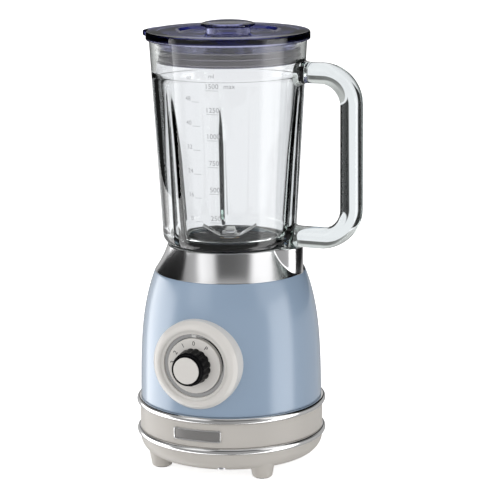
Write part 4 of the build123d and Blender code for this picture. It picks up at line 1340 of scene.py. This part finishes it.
# --------------------------------------------------------------------------- lid


@dataclass
class Lid:
    """The clear smoky lid with its skirt, gasket and measuring cap."""

    edge: float = 2.2 * MM
    recess: float = 43.5 * MM
    filler: float = 19.7 * MM
    tab_reach: float = 80.5 * MM
    tab_half: float = radians(8.5)

    def __post_init__(self) -> None:
        """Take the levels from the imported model."""
        self.jar_top = high("jar").z
        self.jar_radius = high("jar").y
        self.under = self.jar_top + 0.4 * MM
        self.top = self.under + 6.2 * MM
        self.floor = self.under + 3.4 * MM
        self.skirt_low = low("lid").z
        self.radius = high("lid").x
        self.rim_low = self.jar_top - 1.2 * MM

    def lid(self) -> None:
        """The lid, with its lifting tab drawn out of the rim."""
        inner, over_jar = 60.6 * MM, self.jar_radius + 0.6 * MM
        tube, tube_end = self.filler + 2.3 * MM, self.under - 10.5 * MM
        outline = rounded(
            [
                (self.filler, self.floor, 0.5 * MM), (self.filler, tube_end, 0.3 * MM),
                (tube, tube_end, 0.3 * MM), (tube, self.under, 0.6 * MM), (inner, self.under, 0.6 * MM),
                (inner, self.skirt_low, 0.4 * MM), (inner + 1.8 * MM, self.skirt_low, 0.4 * MM),
                (inner + 1.8 * MM, self.under, 0.4 * MM), (over_jar, self.under, 0.3 * MM),
                (over_jar, self.rim_low, 0.4 * MM), (self.radius, self.rim_low, 0.7 * MM),
                (self.radius, self.top - 0.4 * MM, self.edge), (self.recess + 4.5 * MM, self.top, 1.2 * MM),
                (self.recess + 1.0 * MM, self.floor + 0.3 * MM, 1.0 * MM),
                (self.recess - 3 * MM, self.floor, 1 * MM),
            ],
            5,
        )
        bm = lathe(outline, 384)
        for vert in bm.verts:
            radius = hypot(vert.co.x, vert.co.y)
            angle = atan2(vert.co.y, -vert.co.x)
            if radius < self.jar_radius + 1.2 * MM or abs(angle) > self.tab_half * 1.6:
                continue
            share = smooth_step((self.tab_half * 1.35 - abs(angle)) / (self.tab_half * 0.75))
            outward = (radius - self.jar_radius - 1.2 * MM) / (self.radius - self.jar_radius - 1.2 * MM)
            grown = radius + (self.tab_reach - self.radius) * share * outward
            lift = 1.0 * MM * share * outward if vert.co.z < self.under else 0.0
            vert.co.x *= grown / radius
            vert.co.y *= grown / radius
            vert.co.z += lift
        piece("lid_disc", tidy(bm), PALETTE.smoke, Body.LID, ("lid",))

    def gasket(self) -> None:
        """The finned gasket round the skirt."""
        lowest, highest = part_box("lid_gasket")
        inner, outer = 62.5 * MM, highest.y
        body = outer - 1.5 * MM
        fins = 3
        pitch = (highest.z - lowest.z - 1.6 * MM) / (fins - 1)
        outline: list[Point] = [(inner, lowest.z)]
        for fin in range(fins):
            base = lowest.z + fin * pitch
            outline += [
                (body, base), (outer - 0.4 * MM, base + 0.1 * MM), (outer, base + 0.8 * MM),
                (outer - 0.4 * MM, base + 1.5 * MM), (body, base + 1.6 * MM),
            ]
        outline.append((inner, highest.z))
        bm = lathe(outline, MEDIUM)
        piece("gasket_ring", bm, PALETTE.gasket, Body.LID, ("lid_gasket",))

    def cap(self) -> None:
        """The measuring cap: a clear cup under a domed flange."""
        lowest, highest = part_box("lid_cap")
        flange = highest.x
        stem = self.filler - 0.4 * MM
        neck = 20.4 * MM
        rest = self.floor + 0.2 * MM
        under = rest + 6.2 * MM
        edge = under + 1.8 * MM
        rise = highest.z - edge
        dome = [
            (flange * cos(pi / 2 * step / 16) ** 0.85, edge + rise * sin(pi / 2 * step / 16) ** 1.15)
            for step in range(1, 16)
        ]
        outline = rounded(
            [
                (0, under), (stem - 1.6 * MM, under, 1.5 * MM), (stem - 1.6 * MM, lowest.z, 0.4 * MM),
                (stem, lowest.z, 0.4 * MM), (stem, rest), (neck, rest, 0.3 * MM), (neck, under, 0.8 * MM),
                (flange, under, 0.6 * MM), (flange, edge, 0.5 * MM),
            ],
            5,
        )
        bm = lathe(outline + dome + [(0, highest.z)], MEDIUM)
        piece("measuring_cap", bm, PALETTE.smoke, Body.CAP, ("lid_cap",))

    def build(self) -> None:
        """Model and dress the lid, its gasket and the cap."""
        self.lid()
        self.gasket()
        self.cap()


# --------------------------------------------------------------------------- studio


@dataclass
class Studio:
    """The camera, the pale floor and the soft light."""

    distance: float = 1.934
    height: float = 0.604
    azimuth: float = 22.0
    pitch: float = 11.93
    yaw: float = 0.54
    roll: float = -0.43
    lens: float = 155.9
    floor_radius: float = 12.0
    floor_glow: Color = (0.80, 0.80, 0.80)
    # What the floor shows only through the glass: a painted pale glow, and painted dark patches at each side
    # that paint shade on the glass's edges.
    floor_behind_glass: Color = (0.90, 0.895, 0.935)
    painted_shade_fields: tuple = (((13.0, 104.0), (0.85, 4.0)), ((42.0, 110.0), (0.2, 1.0)))
    dome: float = 0.7
    soft_dome: float = 0.50
    layer_start: float = 9.0
    layer_full: float = 15.0
    dome_start: float = 46.0
    dome_full: float = 65.0
    edge_narrow: float = 0.015
    edge_wide: float = 0.1
    edge_reach: float = 0.1
    card_black: Color = (0.012, 0.012, 0.012)
    flag_aside: float = 0.20
    flag_aside_far: float = 0.30
    flag_near: float = -0.05
    flag_far: float = 1.2
    flag_top: float = 0.9
    left_split: float = 0.21
    right_split: float = 0.14

    def camera(self) -> None:
        """Stand the camera to the right of the dial, looking slightly down."""
        data = bpy.data.cameras.new("camera")
        data.lens = self.lens
        data.sensor_width = 36.0
        data.clip_end = 50.0
        obj = bpy.data.objects.new("camera", data)
        bpy.context.scene.collection.objects.link(obj)
        side = radians(self.azimuth)
        place = Matrix.Translation((self.distance * sin(side), -self.distance * cos(side), self.height))
        aim = (
            Matrix.Rotation(radians(self.azimuth - self.yaw), 4, "Z")
            @ Matrix.Rotation(radians(90 - self.pitch), 4, "X")
            @ Matrix.Rotation(radians(self.roll), 4, "Z")
        )
        obj.matrix_world = place @ aim
        bpy.context.scene.camera = obj

    def floor(self) -> None:
        """A plain pale floor that glows evenly for the camera and, for rays through the glass, shows a
        painted glow with painted dark patches.
        """
        bm = bmesh.new()
        bmesh.ops.create_circle(bm, cap_ends=True, radius=self.floor_radius, segments=96)
        mesh = bpy.data.meshes.new("floor")
        bm.to_mesh(mesh)
        bm.free()
        light, dark = (0.90, 0.90, 0.90), (0.89, 0.89, 0.89)
        paper = Finish("floor_paper", light, dark, 0.9, bump=0.0, tint_scale=2).build()
        tree = paper.node_tree
        shader = tree.nodes["Principled BSDF"]
        path = add_node(tree, "LightPath").outputs
        glow = mix_node(tree, path["Is Camera Ray"], (0, 0, 0, 1), (*self.floor_glow, 1))
        feed(tree, shader.inputs["Emission Color"], glow)
        shader.inputs["Emission Strength"].default_value = 1.0
        shader.inputs["Specular IOR Level"].default_value = 0.0
        # Rays through the glass get the painted glow and painted dark patches instead of the lit floor.
        through = add_node(tree, "Emission", Color=self.painted_through_glass(tree))
        seen = shader_mix(tree, path["Is Transmission Ray"], shader, through)
        feed(tree, tree.nodes["Material Output"].inputs["Surface"], seen.outputs[0])
        mesh.materials.append(paper)
        obj = bpy.data.objects.new("floor", mesh)
        bpy.context.scene.collection.objects.link(obj)
        obj.visible_glossy = False

    def painted_through_glass(self, tree: bpy.types.NodeTree) -> bpy.types.NodeSocket:
        """What the glass shows of the floor: a painted pale glow, with a painted dark field at each side that
        puts painted shade on the glass's edges.
        """
        spot = object_place(tree)
        side = radians(self.azimuth)
        outward = vector_node(tree, "NORMALIZE", i0=spot).outputs[0]
        along = vector_node(tree, "DOT_PRODUCT", i0=outward, i1=(-sin(side), cos(side), 0)).outputs["Value"]
        away = vector_node(tree, "LENGTH", i0=spot).outputs["Value"]
        dark = 0.0
        # Each field is a painted dark patch, seen only through the glass, that paints shade on its edges.
        for angles, (near, far) in self.painted_shade_fields:
            narrow, wide = (cos(radians(angle)) for angle in angles)
            mask = 1.0
            for value, start, full in (
                (along, narrow, narrow - self.edge_narrow), (along, wide - self.edge_wide, wide),
                (away, near, near * (1 + self.edge_reach)), (away, far, far * (1 - self.edge_reach)),
            ):
                mask = math_node(tree, "MULTIPLY", rise_node(tree, value, start, full), mask)
            dark = math_node(tree, "MAXIMUM", mask, dark)
        return mix_node(tree, dark, (*self.floor_behind_glass, 1), (*self.card_black, 1))

    def band_ramp(self, tree: bpy.types.NodeTree, share, stops: list[Point]) -> bpy.types.NodeSocket:
        """Brightness round the horizon.

        Args:
            tree: The world's node tree.
            share: The socket with the share of a turn, from behind the object.
            stops: Angles from the camera's side in degrees, right positive, with the brightness there.

        Returns:
            The colour socket.
        """
        ramp = add_node(tree, "ValToRGB", Fac=share)
        ramp.color_ramp.interpolation = "EASE"
        elements = ramp.color_ramp.elements
        marks = [(0.5 - angle / 360, value) for angle, value in stops]
        elements[0].position, elements[1].position = marks[0][0], marks[-1][0]
        elements[0].color = (*(marks[0][1],) * 3, 1)
        elements[1].color = (*(marks[-1][1],) * 3, 1)
        for position, value in marks[1:-1]:
            elements.new(position).color = (value, value, value, 1)
        return ramp.outputs["Color"]

    def layered(self, tree: bpy.types.NodeTree, height, lower, upper, start: float, full: float):
        """Go over from one brightness to another between two elevations in degrees."""
        share = rise_node(tree, height, sin(radians(start)), sin(radians(full)), "SMOOTHSTEP")
        ends = ((value,) * 3 + (1,) if isinstance(value, float) else value for value in (lower, upper))
        return mix_node(tree, share, *ends)

    def surround(self) -> None:
        """Soft light from all round, with softboxes and dark walls for what shines."""
        world = bpy.data.worlds.new("studio")
        bpy.context.scene.world = world
        world.use_nodes = True
        tree = world.node_tree
        split = add_node(tree, "SeparateXYZ", i0=add_node(tree, "TexCoord").outputs["Generated"]).outputs
        height = split["Z"]
        angle = math_node(tree, "ARCTAN2", split["X"], split["Y"])
        turned = math_node(tree, "ADD", angle, radians(self.azimuth))
        share = math_node(tree, "FRACT", math_node(tree, "DIVIDE", turned, 2 * pi), 0.0)
        lower, upper, mild = (
            self.band_ramp(tree, share, bands)
            for bands in (self.low_bands(), self.high_bands(), self.soft_bands())
        )
        walls = self.layered(tree, height, lower, upper, self.layer_start, self.layer_full)
        shiny = self.layered(tree, height, walls, self.dome, self.dome_start, self.dome_full)
        even = self.layered(tree, height, mild, self.soft_dome, self.dome_start, self.dome_full)
        background = tree.nodes["Background"]
        feed(tree, background.inputs["Color"], shiny)
        path = add_node(tree, "LightPath").outputs
        soft = add_node(tree, "Background", Color=even)
        plain = add_node(tree, "Background", Color=(1, 1, 1, 1))
        matt = shader_mix(tree, path["Is Diffuse Ray"], background, soft)
        seen = shader_mix(tree, path["Is Camera Ray"], matt, plain)
        feed(tree, tree.nodes["World Output"].inputs["Surface"], seen.outputs[0])

    def low_bands(self) -> list[tuple[float, float]]:
        """What shiny surfaces see low round the room: a softbox at each side."""
        return [
            (180, 0.14), (150, 0.5), (92, 0.6), (79, 3.4), (58, 3.4), (46, 0.5), (10, 0.45), (-12, 0.4),
            (-74, 0.4), (-90, 3.4), (-130, 3.2), (-144, 0.7), (-160, 0.5), (-180, 0.14),
        ]

    def high_bands(self) -> list[tuple[float, float]]:
        """What shiny surfaces see higher up: two softboxes nearer to the camera."""
        return [
            (180, 0.7), (140, 0.45), (120, 0.14), (90, 0.2), (78, 1.4), (47, 1.4), (33, 0.2), (0, 0.14),
            (-22, 0.12), (-36, 1.1), (-56, 1.35), (-70, 0.5), (-100, 0.35), (-130, 0.14), (-150, 0.45),
            (-180, 0.7),
        ]

    def soft_bands(self) -> list[tuple[float, float]]:
        """What lights the matt surfaces: a little brighter from the left front."""
        return [(180, 0.55), (70, 0.75), (0, 0.75), (-60, 1.0), (-120, 0.7), (-180, 0.55)]

    def flags(self) -> None:
        """Raised dark cards at both sides, seen only in what shines, that draw the edges of the glass."""
        card = Finish("flag_card", self.card_black, (0.015, 0.015, 0.015), 0.9, bump=0.0).build()
        card.node_tree.nodes["Principled BSDF"].inputs["Specular IOR Level"].default_value = 0.0
        turn = Matrix.Rotation(radians(self.azimuth), 4, "Z")
        for side, bottom in ((1, self.right_split), (-1, self.left_split)):
            bm = bmesh.new()
            foot = [
                bm.verts.new(turn @ Vector((side * aside, depth, bottom)))
                for aside, depth in ((self.flag_aside, self.flag_near), (self.flag_aside_far, self.flag_far))
            ]
            edge = bm.edges.new(foot)
            made = bmesh.ops.extrude_edge_only(bm, edges=[edge])["geom"]
            raised = [g for g in made if isinstance(g, bmesh.types.BMVert)]
            bmesh.ops.translate(bm, vec=(0, 0, self.flag_top - bottom), verts=raised)
            mesh = bpy.data.meshes.new("flag")
            bm.to_mesh(mesh)
            bm.free()
            mesh.materials.append(card)
            obj = bpy.data.objects.new("flag", mesh)
            bpy.context.scene.collection.objects.link(obj)
            obj.visible_camera = False
            obj.visible_diffuse = False
            obj.visible_shadow = False
            obj.visible_transmission = False

    def build(self) -> None:
        """Set up the camera, floor and lights."""
        self.camera()
        self.floor()
        self.surround()
        self.flags()
        scene = bpy.context.scene
        scene.view_settings.view_transform = "Standard"


def dress_inner_nodes() -> None:
    """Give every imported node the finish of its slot."""
    slots = {entry["node"]: entry["material_slot"] for entry in frame["record"]["subparts"]}
    for node, obj in frame["nodes"].items():
        material = SLOT_FINISH[slots[node]].build()
        obj.data.materials.clear()
        obj.data.materials.append(material)


def main() -> None:
    """Build the whole blender, sub-assembly by sub-assembly."""
    logging.basicConfig(level=logging.INFO, format="%(name)s %(message)s")
    Studio().build()
    dress_inner_nodes()
    for assembly in (MotorHousing(), Collar(), Dial(), GlassJar(), BladeUnit(), Lid()):
        assembly.build()


if __name__ == "__main__":
    main()
